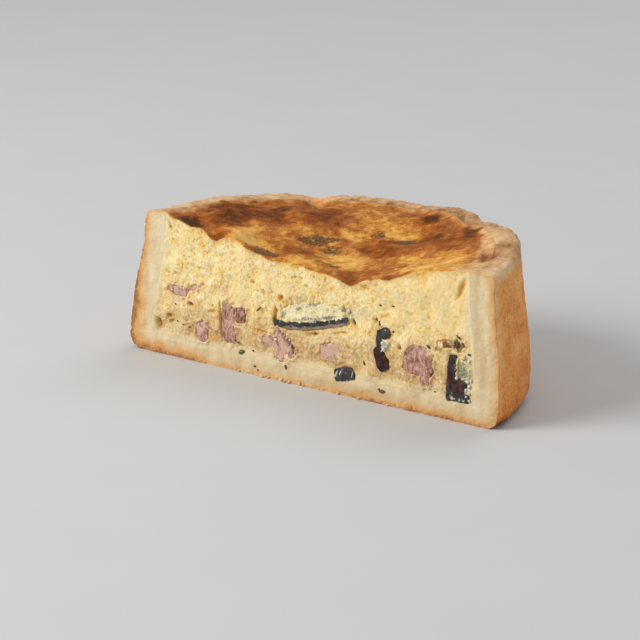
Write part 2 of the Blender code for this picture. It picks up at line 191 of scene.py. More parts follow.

# Darker and paler places of the ham, red flesh of the aubergine and pale streaks on it that are painted
# highlights, mould of the cheese: place along the cut, height, half sizes, turn, amount
HAM_SHADES = (
    (-29, 19, 1.6, 1.6, 0, 0.25), (-31, 21.4, 3, 3.4, 0, 0.12), (-9.6, 16.2, 4.4, 1.3, -38, 0.46),
    # (50.4, 16) is painted shade on the right side of ham_6
    (-6.6, 12, 0.9, 3, 20, 0.34), (-12, 13, 2.2, 2.4, 0, -0.2), (50.4, 16, 1.4, 2.4, 10, 0.32),
    (6.2, 17.4, 1.8, 1, 20, 0.34), (14.4, 16.6, 1.2, 1.6, 0, 0.36), (-14.2, 14.6, 0.6, 2.6, 24, 0.4),
    (-42.5, 14, 1.6, 1, 0, 0.3), (8.6, 15, 5, 3, 0, -0.16), (-15, 11, 5, 4, 0, -0.12),
    (60.4, 27.6, 1.5, 1.8, 20, 0.7), (58.6, 25.2, 1, 1.6, 0, 0.35), (63.4, 28.4, 0.8, 1.6, 30, 0.4),
    (-62, 26, 1.4, 1.6, 0, 0.2), (-47.6, 12.4, 1.8, 2.2, 0, -0.16),
)
CRUMBED = (
    (-9.6, 8.8, 1.2, 3, 30, 0.5), (-16.6, 11.2, 1.4, 0.8, 30, 0.4), (53.6, 26.4, 2, 1, 10, 0.3),
    (12, 13.6, 2, 2, 0, 0.2), (48.4, 10.6, 2, 1.6, 0, 0.3), (-61.6, 26, 1.2, 1.6, 0, 0.2),
)
FLESH = (
    (30, 16.2, 4.6, 4.6, 20, 1), (61.4, 12.8, 3.6, 2.8, -20, 1), (57.6, 18, 1.4, 7, 0, 0.8),
    (28.6, 21, 1, 3, 0, 0.4),
)
GLINT_STREAKS = (
    (11.4, 7.6, 0.5, 2.6, -24, 0.6), (13.2, 8.4, 0.4, 2.2, -30, 0.55), (15.6, 5.9, 4, 0.5, 12, 0.45),
    (18.2, 8.8, 0.4, 2.2, -10, 0.5), (62, 8.2, 4.4, 0.8, 0, 0.5), (31.4, 27.2, 0.6, 1.6, 30, 0.45),
    (29.6, 26, 0.5, 1.4, -30, 0.4), (58.8, 9.5, 0.8, 2.4, 0, 0.4), (59.8, 20.5, 0.6, 3, 0, 0.4),
    (-10, 21.4, 5, 0.5, 0, 0.35),
)
MOULD = (
    (62.6, 17, 2.2, 4, 0, 0.3), (14.2, 30.6, 1.4, 1.4, 20, 0.35), (-5, 28.5, 1.3, 1.1, 0, 0.4),
    (8, 27.6, 2.6, 0.7, 14, 0.3), (15, 30.4, 1.2, 2.6, 0, 0.5), (-7, 31.2, 4, 1, 20, 0.35),
    (2, 31.8, 5, 1, 25, 0.3), (61.4, 18.6, 1.4, 3, 0, 0.3), (-12, 25, 1.4, 2, 0, 0.4),
    (0, 25.8, 12, 0.8, 12, 0.3),
)

# Browning of the top: place across and back, half length, half width, turn, amount
BROWNED = (
    (-55.5, 4, 6.5, 4.4, -40, 0.52), (-46, 24, 15, 9.5, 15, 0.27), (-57, 22, 6, 10, -15, 0.1),
    (-44.5, 11.5, 6, 6.5, 10, 0.26), (-37, 35.5, 3, 7, 20, 0.2), (-32, 44, 15, 8, 15, 0.1),
    (-20, 39.5, 8, 8.5, 20, 0.2), (-6, 52.5, 9, 5.5, 0, -0.08), (7, 43, 8.5, 5.5, -10, -0.22),
    (15, 57, 4.2, 5.5, 20, 0.42), (2, 59, 8, 3, 0, 0.06), (34, 43, 12, 14, 25, 0.15),
    (24, 40, 4, 6, 25, 0.14), (40.5, 44, 3.6, 6, 25, 0.2), (12, 29.5, 10, 7, 10, 0.17),
    (-4, 35, 6.5, 3.2, 0, -0.16), (-24, 22, 6, 5, 15, -0.06), (-35, 9.5, 5.5, 8.5, 20, -0.24),
    (-32, 5, 3, 3.6, 20, -0.12), (-14, 11.5, 4.4, 5, 0, 0.16), (-24, 12, 4, 4, 0, -0.04),
    (4.5, 15.5, 8, 9, 30, -0.2), (15, 2, 6, 6, -30, 0.16), (18, 10, 6, 7, -20, 0.03),
    (-6, 2, 6, 5, 0, -0.12), (42, 12, 11, 15, -20, -0.2), (26, 22, 5, 6, 30, -0.14),
    (35, 0, 7.5, 3.2, -20, 0.22), (45.5, 1, 4, 6, 0, -0.12), (52, 24, 4, 9, 15, 0.08),
    (56, 4, 5, 7, 0, -0.14), (-63, 12, 3, 9, 0, -0.1), (-52, 41, 7, 5, 40, 0.05),
    (-41, -1, 2.6, 5, 0, 0.28), (14.5, 37, 5, 3, 20, 0.16),
)
HERBED = (
    (-38, 36, 3, 7, 15, 0.6), (-11, 27.4, 5.8, 2.8, 25, 1.05), (-16, 22.6, 4.8, 2.8, 10, 1.05),
    (-5.4, 21, 6.4, 5, 0, 0.95), (3.5, 38.4, 3.4, 1.6, 10, 1.25), (15, 37.4, 4.6, 2.6, 20, 1.4),
    (19, 36, 3.6, 3.4, 20, 1), (17.5, 19.5, 3.4, 1.4, 10, 0.6), (35, 17.5, 1.4, 2.6, 20, 0.8),
    (4, 8.4, 3.6, 2.8, 0, 1.2), (-25, 3.4, 3.8, 4.6, 0, 1.05), (-20, 3.6, 4.4, 3.8, 0, 0.95),
    (-22, 40, 5, 4, 0, 0.4), (15, 57, 4, 4, 20, 0.6), (6, 27, 7, 2.6, 10, 0.45),
)
BASE_BROWN = 0.43

# Darker streaks of the cut pastry: place along, height, half sizes, turn, amount
TAN_STREAKS = (
    (67.6, 33, 1.4, 9, 3, 0.3), (70.6, 22, 1.8, 9, 3, 0.5), (-72.5, 30, 0.9, 12, -6, 0.25),
    (20, 3.5, 26, 1.4, 0, 0.3),
)

# Marks on the rim: place across and back, half length, half width, turn, amount
RIM_CREAM = ((51, 40, 4.5, 9, 30, 0.8), (61, 10, 4, 7, 10, 0.6), (66, 1, 8, 4.5, 0, 0.9))
RIM_GREY = ((59.5, 31.5, 3.6, 5, 30, 1),)
RIM_PITS = ((58.5, 21.5, 3.6, 6, 25, 1), (45, 56, 3, 1.2, -40, 0.4), (-44, 55, 3.5, 1.2, 35, 0.5))

# Small dark and green bits: place along the cut, height, half width, half height, turn
GREEN_BITS = (
    (-30, 7.6, 1.5, 0.8, 40), (-22.6, 25.2, 1.1, 0.25, 45), (-21.8, 25.9, 0.7, 0.2, 40),
    (-31.5, 11, 0.5, 0.3, 0), (52, 9, 0.5, 0.2, 10), (-60, 20.5, 0.4, 0.3, 0),
)
DARK_BITS = (
    (30.7, 4.9, 1.3, 0.6, 10), (29.3, 5.3, 0.5, 0.3, 40), (-23.8, 3.5, 0.5, 0.35, 0),
    (-22.4, 2.3, 0.35, 0.3, 0), (29, 36, 0.4, 0.3, 0), (34, 36.4, 0.6, 0.25, 10),
    (27.6, 30.6, 0.3, 0.6, 30), (28.8, 29.4, 0.3, 1.1, -10), (34.6, 27.4, 0.5, 0.4, 0),
    (18.2, 27.6, 0.4, 1.2, 30), (-24.8, 9, 0.4, 0.35, 0), (61, 30.4, 1.2, 0.35, -30),
    (63, 28.2, 0.4, 0.8, 10), (57.6, 28.2, 0.6, 0.3, 0), (-56, 13.5, 0.35, 0.3, 0),
    (-53.4, 12.8, 0.5, 0.3, 20), (-58.8, 14.2, 0.4, 0.3, 0), (-10.4, 5.8, 0.5, 0.9, 0),
    (22.6, 13.6, 0.3, 0.9, 20), (65.2, 25, 0.6, 0.4, 0), (48.9, 24.7, 0.9, 0.5, -20),
)
CHEESE_BITS = (
    (64.6, 15, 0.8, 0.7, 20), (65.6, 13.4, 0.7, 0.8, 0), (64.4, 12, 0.7, 0.6, 60), (65.7, 11, 0.7, 0.6, 0),
    (64.8, 9.8, 0.8, 0.6, 30), (65.9, 8.6, 0.6, 0.6, 0), (65.9, 15.6, 0.6, 0.7, 0),
    (63.6, 24.2, 0.7, 0.5, 0), (65.4, 22.6, 0.6, 0.8, 20), (60.6, 15.8, 0.6, 0.7, 0),
    (30.6, 22.4, 0.9, 0.8, 10), (31.9, 21.4, 0.9, 0.7, 40), (31, 20.4, 0.7, 0.6, 0),
    (32.6, 22.8, 0.6, 0.6, 0), (30.2, 19.8, 0.5, 0.6, 0), (16, 31.6, 0.9, 0.6, 20),
    (13.4, 32.2, 0.7, 0.6, 0), (-13.4, 28.2, 0.7, 0.6, 0),
)
CRUMBS = (
    (-20.6, 0.7), (-17.8, 0.5), (-12, 0.9), (-10.6, 0.5), (-8.6, 0.6), (-4.2, 0.8), (-2.6, 0.5), (4, 0.4),
    (12.5, 0.6), (21, 0.5), (33, 0.5), (-31, 0.5),
)

# Camera and light, about the quiche's axis
CAMERA_TURN = 33.63
CAMERA_RISE = 16.9
CAMERA_ROLL = 1.07
CAMERA_DISTANCE = 861
CAMERA_LENS = 131.68
CAMERA_AIM = (0, 40, 25)
AIM_ACROSS = -18.7
AIM_UP = -9.3
LIGHT_AIM = (0, 0, 0.02)
DAYLIGHT = 0.43
FLOOR_RADIUS = 6
FLOOR_GREYS = ((197.5,) * 3, (199.07,) * 3)


def held(value):
    """Keeps the values from 0 to 1."""
    return np.clip(value, 0, 1)


def ease(value):
    """Eases from 0 to 1 as the values go from 0 to 1."""
    value = held(value)
    return value * value * (3 - 2 * value)


def fade(value):
    """Eases from 1 to 0 as the values go from 0 to 1."""
    return 1 - ease(value)


def cos_sin(degrees):
    return math.cos(math.radians(degrees)), math.sin(math.radians(degrees))


def ripple(x, y, z, size, seed):
    """Smooth unevenness between about -1 and 1, with features of the given size."""
    x, y, z = np.broadcast_arrays(x / size + seed, y / size - seed, z / size + 2 * seed)
    points = np.stack((x, y, z), -1).reshape(-1, 3).tolist()
    return 1.6 * np.array([noise.noise(point) for point in points]).reshape(x.shape)


def scatter(across, up, seed):
    """A number from 0 to 1 that belongs to each cell."""
    mixed = np.sin(across * 127.1 + up * 311.7 + seed * 74.7) * 43758.5453
    return mixed - np.floor(mixed)


def cells(across, up, size, seed):
    """Distance from the middle of the nearest of many scattered lumps, and its own number."""
    across, up = across / size, up / size
    column, row = np.floor(across), np.floor(up)
    nearest = np.full(across.shape, np.inf)
    own = np.zeros(across.shape)
    for right in (-1, 0, 1):
        for above in (-1, 0, 1):
            place = column + right, row + above
            away = np.hypot(place[0] + scatter(*place, seed) - across,
                            place[1] + scatter(*place, seed + 1) - up)
            own = np.where(away < nearest, scatter(*place, seed + 2), own)
            nearest = np.minimum(nearest, away)
    return nearest, own


def blobs(across, up, marks):
    """The sum of soft oval marks at a place."""
    total = np.zeros(np.shape(across))
    for middle, height, length, width, turn, amount in marks:
        cos, sin = cos_sin(turn)
        along = (across - middle) * cos + (up - height) * sin
        aside = (up - height) * cos - (across - middle) * sin
        total += amount * np.exp(-((along / length) ** 2 + (aside / width) ** 2) ** 1.5)
    return total


def outer_radius(height):
    """The case's outside, which leans in from its foot to its rim."""
    lean = ease((height - FLARE_START) / (RIM_HEIGHT - FLARE_START))
    return BASE_RADIUS - (BASE_RADIUS - RIM_RADIUS) * lean


def rim_wave(degrees):
    """How the rim rises and falls along its half ring."""
    return sum(height * np.exp(-((degrees - place) / width) ** 2)
               for place, height, width in RIM_WAVES)


def lift(x, y, z):
    """How far the rim and the baked top are raised or lowered at a place."""
    radius = np.hypot(x, y)
    degrees = np.abs(np.degrees(np.arctan2(y, x)))
    high = ease((z - 0.55 * RIM_HEIGHT) / (0.3 * RIM_HEIGHT))
    near_rim = ease((radius - 0.6 * RIM_RADIUS) / (0.25 * RIM_RADIUS))
    within = fade((radius - 0.55 * RIM_RADIUS) / (0.28 * RIM_RADIUS))
    lumps = sum(height * np.exp(-((x - across) ** 2 + (y - back) ** 2) / width ** 2)
                for across, back, height, width in TOP_LUMPS)
    raised = near_rim * rim_wave(degrees) + lumps
    raised += within * (LUMP * ripple(x, y, 0, LUMP_SIZE, 11) - TOP_TILT * x)
    return high * raised


def uneven(x, y, z):
    """Makes a turned shape uneven, as the solids are."""
    radius = np.maximum(np.hypot(x, y), 0.01)
    out = radius / BASE_RADIUS
    outside = ease((radius - outer_radius(z) + 0.45 * WALL_THICKNESS) / (0.3 * WALL_THICKNESS))
    shift = -SPREAD * x / radius * out * fade(z / RIM_HEIGHT)
    shift += SWELL * out * ripple(x, y, z, SWELL_SIZE, 3)
    shift += WALL_RELIEF * outside * ripple(x, y, z, WALL_RELIEF_SIZE, 5)
    grow = 1 + shift / radius
    return x * grow, y * grow, z + lift(x, y, z)


def sanded(x, y, z):
    """Adds the fine relief of the baked pastry to its outside and its rim."""
    radius = np.maximum(np.hypot(x, y), 0.01)
    outside = ease((radius - outer_radius(z) + 0.35 * WALL_THICKNESS) / (0.2 * WALL_THICKNESS))
    on_rim = ease((z - RIM_HEIGHT + 4) / 3)
    turn = np.arctan2(y, x) * BASE_RADIUS
    grain = 0.1 * ripple(x, y, z, 1.9, 31) + 0.07 * ripple(x, y, z, 0.9, 33)
    streaks = 0.05 * ripple(turn, 0, z / 6, 1.8, 35)
    pits = -0.3 * ease((ripple(x, y, z, 2.6, 37) - 0.66) / 0.3)
    push = outside * (1 - on_rim) * (grain + streaks + pits)
    rough = 0.26 * ripple(x, y, z, 4.2, 39) + 0.2 * ripple(x, y, z, 1.7, 41)
    from_lip = ease((radius - RIM_INNER) / 2.5)
    rough = rough * from_lip
    rise = on_rim * (rough + from_lip * grain - 1.3 * blobs(x, y, RIM_PITS))
    grow = 1 + (push + 0.4 * on_rim * outside * rough) / radius
    return x * grow, y * grow, z + rise


def arc(middle, radius, start, end, steps):
    turns = np.radians(np.linspace(start, end, steps + 1))
    return [(middle[0] + radius * math.cos(t), middle[1] + radius * math.sin(t)) for t in turns]


def inside_wall(gap):
    """The case's inside, from its base's middle out and up, moved inwards by a gap."""
    floor = BASE_THICKNESS + gap
    corner = (outer_radius(floor) - WALL_THICKNESS - CORNER_ROUND, BASE_THICKNESS + CORNER_ROUND)
    points = [(0, floor)]
    points += [(corner[0] * part, floor) for part in (0.2, 0.4, 0.6, 0.8)]
    points += arc(corner, CORNER_ROUND - gap, -90, -8, 8)
    heights = np.linspace(corner[1], RIM_HEIGHT, WALL_RINGS + 1)[1:-1]
    return points + [(outer_radius(h) - WALL_THICKNESS - gap, h) for h in heights]


def resampled(points, step):
    """The same line, with points no further apart than a step."""
    made = [points[0]]
    for start, end in zip(points, points[1:]):
        count = max(1, math.ceil(math.dist(start, end) / step))
        made += [tuple(np.array(start) + (np.array(end) - start) * i / count)
                 for i in range(1, count + 1)]
    return made


def case_profile():
    """The pastry case: over its inside, its rim, down its outside and back under."""
    rim = [(RIM_INNER, RIM_HEIGHT - LIP), (RIM_INNER + 0.6, RIM_HEIGHT - 0.15),
           (RIM_INNER + 1.2, RIM_HEIGHT), (RIM_INNER + 2, RIM_HEIGHT + 0.1),
           (RIM_RADIUS - RIM_ROUND - 1.6, RIM_HEIGHT + 0.1)]
    rim += arc((RIM_RADIUS - RIM_ROUND, RIM_HEIGHT - RIM_ROUND), RIM_ROUND, 80, 0, 6)
    heights = np.arange(RIM_HEIGHT - 2 * RIM_ROUND, FOOT_ROUND, -WALL_STEP)
    outside = [(outer_radius(h), h) for h in heights]
    foot = (outer_radius(0) - FOOT_ROUND, FOOT_ROUND)
    outside += arc(foot, FOOT_ROUND, -12, -90, 12)
    under = [(foot[0] * part, 0) for part in (0.98, 0.9, 0.75, 0.5, 0.25)]
    return inside_wall(0)[:-1] + resampled(rim + outside, WALL_STEP) + under + [(0, 0)]


def plug_profile():
    """The room inside the case, carried on up past the rim."""
    side = inside_wall(SEAM)
    edge = RIM_INNER - SEAM
    top = RIM_HEIGHT + PLUG_REACH
    return [(0, top), (edge, top), (edge, RIM_HEIGHT)] + side[::-1]


def top_height(x, y):
    """The baked top, with its fine wrinkles and blisters."""
    radius = np.hypot(x, y)
    level = CENTRE_LEVEL + BANK_RISE * ease((radius - BANK_START) / BANK_WIDTH)
    rise = RIM_HEIGHT - LIP - CENTRE_LEVEL - BANK_RISE
    meniscus = rise * ease((radius - RIM_INNER + 3.6) / 3.4)
    away, own = cells(x + 0.8 * ripple(x, y, 0, 3, 43), y, 3.4, 5)
    calm = ease((RIM_INNER - radius) / 3)
    blisters = 0.26 * (own - 0.4) * fade(away / 0.75)
    wrinkles = 0.14 * ripple(x, y, 0, 3.6, 45) + 0.06 * ripple(x, y, 0, 1.5, 47)
    pits = ease((radius - RIM_INNER + 5) / 3) * blobs(x, y, RIM_PITS)
    fine = calm * (blisters + wrinkles)
    return level + lift(x, y, level) + meniscus + fine + blobs(x, y, TOP_FOLD) - 1.3 * pits


def squareness(name):
    """How near to a box a piece's lumps are."""
    return SQUARENESS.get(name, SQUARENESS[name.split("_")[0]])


def lump_distance(x, z, sizes, power):
    """About how far a place in the cut lies outside a lump's outline."""
    across, height, width, tall, _, turn, bend, taper = sizes
    cos, sin = cos_sin(turn)
    along = ((x - across) * cos + (z - height) * sin) / (width / 2)
    aside = ((z - height) * cos - (x - across) * sin) / (tall / 2)
    aside = aside - bend * (1 - np.clip(along, -1, 1) ** 2) / (tall / 2)
    along = along / np.clip(1 + taper * aside, 0.6, 1.4)
    size = (np.abs(along) ** power + np.abs(aside) ** power) ** (1 / power)
    return (size - 1) * min(width, tall) / 2


def piece_distance(x, z, names=PIECES):
    """About how far a place in the cut lies outside the nearest of the pieces."""
    nearest = np.full(np.shape(x), np.inf)
    for name in names:
        power = squareness(name)
        for sizes in PIECES[name]:
            nearest = np.minimum(nearest, lump_distance(x, z, sizes, power))
    return nearest


def wall_edges(heights):
    """Where the case's inside and outside stand in the cut, left and right, at each height."""
    edges = {}
    for side, sign in (("left", -1), ("right", 1)):
        for name, depth in (("inner", WALL_THICKNESS), ("outer", 0)):
            radius = outer_radius(heights) - depth
            x, _, _ = uneven(sign * radius, 0, heights)
            edges[side, name] = np.abs(x)
    return edges


EDGE_HEIGHTS = np.linspace(0, RIM_HEIGHT, 108)
EDGES = wall_edges(EDGE_HEIGHTS)


def from_wall(x, z, name):
    """How far a place in the cut lies inside the case's inner or outer face."""
    left = np.interp(z, EDGE_HEIGHTS, EDGES["left", name])
    right = np.interp(z, EDGE_HEIGHTS, EDGES["right", name])
    return np.where(x < 0, left, right) - np.abs(x)


def from_case(x, z):
    """How far a place in the cut lies inside the custard's part of it."""
    inner = from_wall(x, z, "inner")
    corner_x = np.clip(CORNER_ROUND - inner, 0, None)
    corner_z = np.clip(BASE_THICKNESS + CORNER_ROUND - z, 0, None)
    return CORNER_ROUND - np.hypot(corner_x, corner_z)


def crumbs_of_cut(x, z):
    """The crumb of the cut custard: how far it lies behind its even face."""
    bent = x + 0.26 * z + 0.35 * ripple(x, 0, z, 1.9, 23)
    risen = 0.78 * z + 0.3 * ripple(x, 0, z, 2.3, 25)
    away, own = cells(bent, risen, 1.2, 11)
    near, little = cells(bent * 1.1, risen * 1.1 + 3, 0.7, 17)
    coarse = 0.17 * ease((away - 0.25) / 0.5) + 0.16 * (own - 0.5)
    fine = 0.15 * ease((near - 0.3) / 0.45) + 0.18 * (little - 0.5)
    torn = 0.24 * ease((ripple(x, 0, z, 2.4, 27) - 0.55) / 0.4)
    calm = 0.3 + 0.7 * ease(from_case(x, z) / CALM_EDGE)
    calm *= 1 - 0.4 * ease((x - 24) / 14) * ease((z - 26) / 8)
    return calm * (coarse + fine + torn + 0.1 * ripple(x, 0, z, 4.6, 29) - 0.15)


def grain_of_section(x, z):
    """The finer, layered face of the cut pastry."""
    lower = ease((BASE_THICKNESS + 2 - z) / 4)
    along = np.where(lower > 0.5, x / 5, x)
    up = np.where(lower > 0.5, z, z / 7)
    layers = 0.05 * ripple(along, 0.3 * (x + z), up, 1.6, 51)
    turned_x, turned_z = 0.8 * x + 0.6 * z, 0.8 * z - 0.6 * x
    crumb = 0.07 * ripple(turned_x, 0, turned_z, 1.1, 53)
    return layers + crumb + 0.1 * ripple(turned_x, 0, turned_z, 3, 55)


def even_face(x, z):
    """The slow unevenness of the whole cut, as in the solids."""
    inner = outer_radius(z) - WALL_THICKNESS
    within = ease((inner - np.abs(x)) / 2) * ease((z - BASE_THICKNESS) / 2)
    depth = PASTRY_CUT_RELIEF + (CUSTARD_CUT_RELIEF - PASTRY_CUT_RELIEF) * within
    return depth * (CUT_SET_BACK + ripple(x, 0, z, CUT_RELIEF_SIZE, 17))


def cut_face(x, z):
    """How far the cut of custard and pastry lies behind its plane."""
    soft = ease(from_case(x, z) / CALM_EDGE + 0.5)
    away = piece_distance(x, z)
    hidden = ease((-0.2 - away) / 0.8)
    soft_edge = np.exp(-(piece_distance(x, z, SOFT_PIECES) / 0.8) ** 2)
    rims = soft_edge * (0.05 - 0.6 * ease(ripple(x, 0, z, 1.7, 57) + 0.4))
    rims += 0.3 * (1 - soft_edge) * np.exp(-(away / 0.6) ** 2)
    relief = soft * crumbs_of_cut(x, z) + (1 - soft) * grain_of_section(x, z)
    under = ease((2.4 - z) / 2) + 0.4 * ease((0.9 - from_wall(x, z, "outer")) / 0.9)
    relief = relief * (1 - 0.8 * hidden) + 1.4 * hidden + soft * rims
    relief += 0.28 * under * (0.3 + ripple(x, 0, z, 1.5, 59))
    return even_face(x, z) + relief + blobs(x, z, HOLES)


def fibre_face(x, z):
    """The smoother cut of ham and aubergine, rounded off towards each piece's edge."""
    away = piece_distance(x, z)
    fibres = 0.05 * ripple(x, 0, z / 2.4, 0.9, 61) + 0.1 * ripple(x, 0, z, 2.4, 63)
    rounding = 0.6 * ease((piece_distance(x, z, HAMS) + 1) / 1.2) * ease((0.8 - away) / 0.8)
    crisp = ease((0.5 - piece_distance(x, z, AUBERGINES)) / 0.5)
    return even_face(x, z) - PROUD + fibres + rounding * (1 - crisp) - 0.1 * crisp


def cheese_face(x, z):
    """The crumbly cut of the cheese."""
    return even_face(x, z) - 0.06 + crumbs_of_cut(x, z)


def mesh_object(name, points, faces):
    """A mesh from points in millimetres, standing where the quiche stands."""
    mesh = bpy.data.meshes.new(name)
    mesh.from_pydata((np.asarray(points) * MM).tolist(), [], faces)
    thing = bpy.data.objects.new(name, mesh)
    bpy.context.scene.collection.objects.link(thing)
    thing.location = AXIS_PLACE
    return thing


def outward(thing):
    """Turns a closed mesh's faces to the outside."""
    shape = bmesh.new()
    shape.from_mesh(thing.data)
    bmesh.ops.recalc_face_normals(shape, faces=list(shape.faces))
    shape.to_mesh(thing.data)
    shape.free()


def block(name, points, far_axis, far):
    """A closed block with one relief face, given as a grid of points, and a flat far side."""
    rows, columns = points.shape[:2]
    numbers = np.arange(rows * columns).reshape(rows, columns)
    faces = np.stack((numbers[:-1, :-1], numbers[1:, :-1], numbers[1:, 1:], numbers[:-1, 1:]), -1)
    faces = faces.reshape(-1, 4).tolist()
    corners = points[[0, 0, -1, -1], [0, -1, -1, 0]].copy()
    corners[:, far_axis] = far
    first = rows * columns
    sides = (numbers[0, :], numbers[:, -1], numbers[-1, ::-1], numbers[::-1, 0])
    for number, side in enumerate(sides):
        faces.append([*side.tolist(), first + (number + 1) % 4, first + number])
    faces.append([first, first + 1, first + 2, first + 3])
    thing = mesh_object(name, np.concatenate((points.reshape(-1, 3), corners)), faces)
    outward(thing)
    return thing


def knife(name, face, wide, high):
    """The block that takes the missing half away."""
    across = np.arange(wide[0], wide[1] + CUT_STEP, CUT_STEP)
    up = np.arange(high[0], high[1] + CUT_STEP, CUT_STEP)
    x, z = np.meshgrid(across, up, indexing="ij")
    return block(name, np.stack((x, face(x, z), z), -1), 1, -BASE_RADIUS - KNIFE_REACH)


def lid():
    """The block of air above the baked top."""
    x, y = np.meshgrid(np.arange(*TOP_WIDE, TOP_STEP), np.arange(*TOP_BACK, TOP_STEP), indexing="ij")
    return block("lid", np.stack((x, y, top_height(x, y)), -1), 2, RIM_HEIGHT + LID_REACH)


def turned(profile, degrees):
    """Points and faces of a closed solid, turned from a profile between two ends on the axis."""
    profile = np.array(profile)
    ring = np.radians(degrees)
    middle = profile[1:-1]
    x = np.cos(ring)[:, None] * middle[None, :, 0]
    y = np.sin(ring)[:, None] * middle[None, :, 0]
    z = np.broadcast_to(middle[None, :, 1], x.shape)
    points = np.stack((x, y, z), -1).reshape(-1, 3)
    points = np.concatenate((points, [(0, 0, profile[0, 1]), (0, 0, profile[-1, 1])]))
    count, length = len(ring), len(middle)
    faces = []
    for turn in range(count):
        here, there = turn * length, (turn + 1) % count * length
        faces += [(here + i, there + i, there + i + 1, here + i + 1) for i in range(length - 1)]
        faces.append((count * length, there, here))
        faces.append((count * length + 1, here + length - 1, there + length - 1))
    return points, faces


def combine(thing, other, operation="DIFFERENCE"):
    """Cuts another object out of a thing, or fuses it on."""
    cut = thing.modifiers.new(operation.lower(), "BOOLEAN")
    cut.object = other
    cut.operation = operation
    cut.solver = "MANIFOLD"
    bpy.context.view_layer.update()
    graph = bpy.context.evaluated_depsgraph_get()
    mesh = bpy.data.meshes.new_from_object(thing.evaluated_get(graph))
    thing.modifiers.clear()
    thing.data = mesh


def remove(*things):
    """Takes away blocks that have done their cutting."""
    for thing in things:
        bpy.data.objects.remove(thing, do_unlink=True)


def drop_scraps(thing):
    """Leaves only a cut piece's main body, without the crumbs that the cuts set loose."""
    mesh = thing.data
    ends = np.empty(2 * len(mesh.edges), np.int64)
    mesh.edges.foreach_get("vertices", ends)
    start, end = ends.reshape(-1, 2).T
    label = np.arange(len(mesh.vertices))
    while True:
        lowest = np.minimum(label[start], label[end])
        spread = label.copy()
        np.minimum.at(spread, start, lowest)
        np.minimum.at(spread, end, lowest)
        spread = spread[spread]
        if (spread == label).all():
            break
        label = spread
    main = np.bincount(label).argmax()
    shape = bmesh.new()
    shape.from_mesh(mesh)
    loose = [vertex for vertex, part in zip(shape.verts, label) if part != main]
    bmesh.ops.delete(shape, geom=loose, context="VERTS")
    shape.to_mesh(mesh)
    shape.free()


def places(thing):
    """A piece's points about the quiche's axis, in millimetres."""
    found = np.empty(3 * len(thing.data.vertices))
    thing.data.vertices.foreach_get("co", found)
    return found.reshape(-1, 3).T / MM


def mark(thing, **values):
    """Stores what each point of a piece is like, for its material to read."""
    for name, value in values.items():
        layer = thing.data.attributes.new(name, "FLOAT", "POINT")
        layer.data.foreach_set("value", np.ascontiguousarray(value, np.float32))


def dress(thing, look, slot, *nodes):
    """Gives a piece its material and its body, and hides the solids that it stands for; its slot is not
    used.
    """
    thing.data.materials.clear()
    thing.data.materials.append(look)
    thing.data.shade_smooth()
    thing.data.set_sharp_from_angle(angle=math.radians(SHARP_EDGE))
    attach(thing, "root")
    if nodes:
        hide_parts(*nodes)


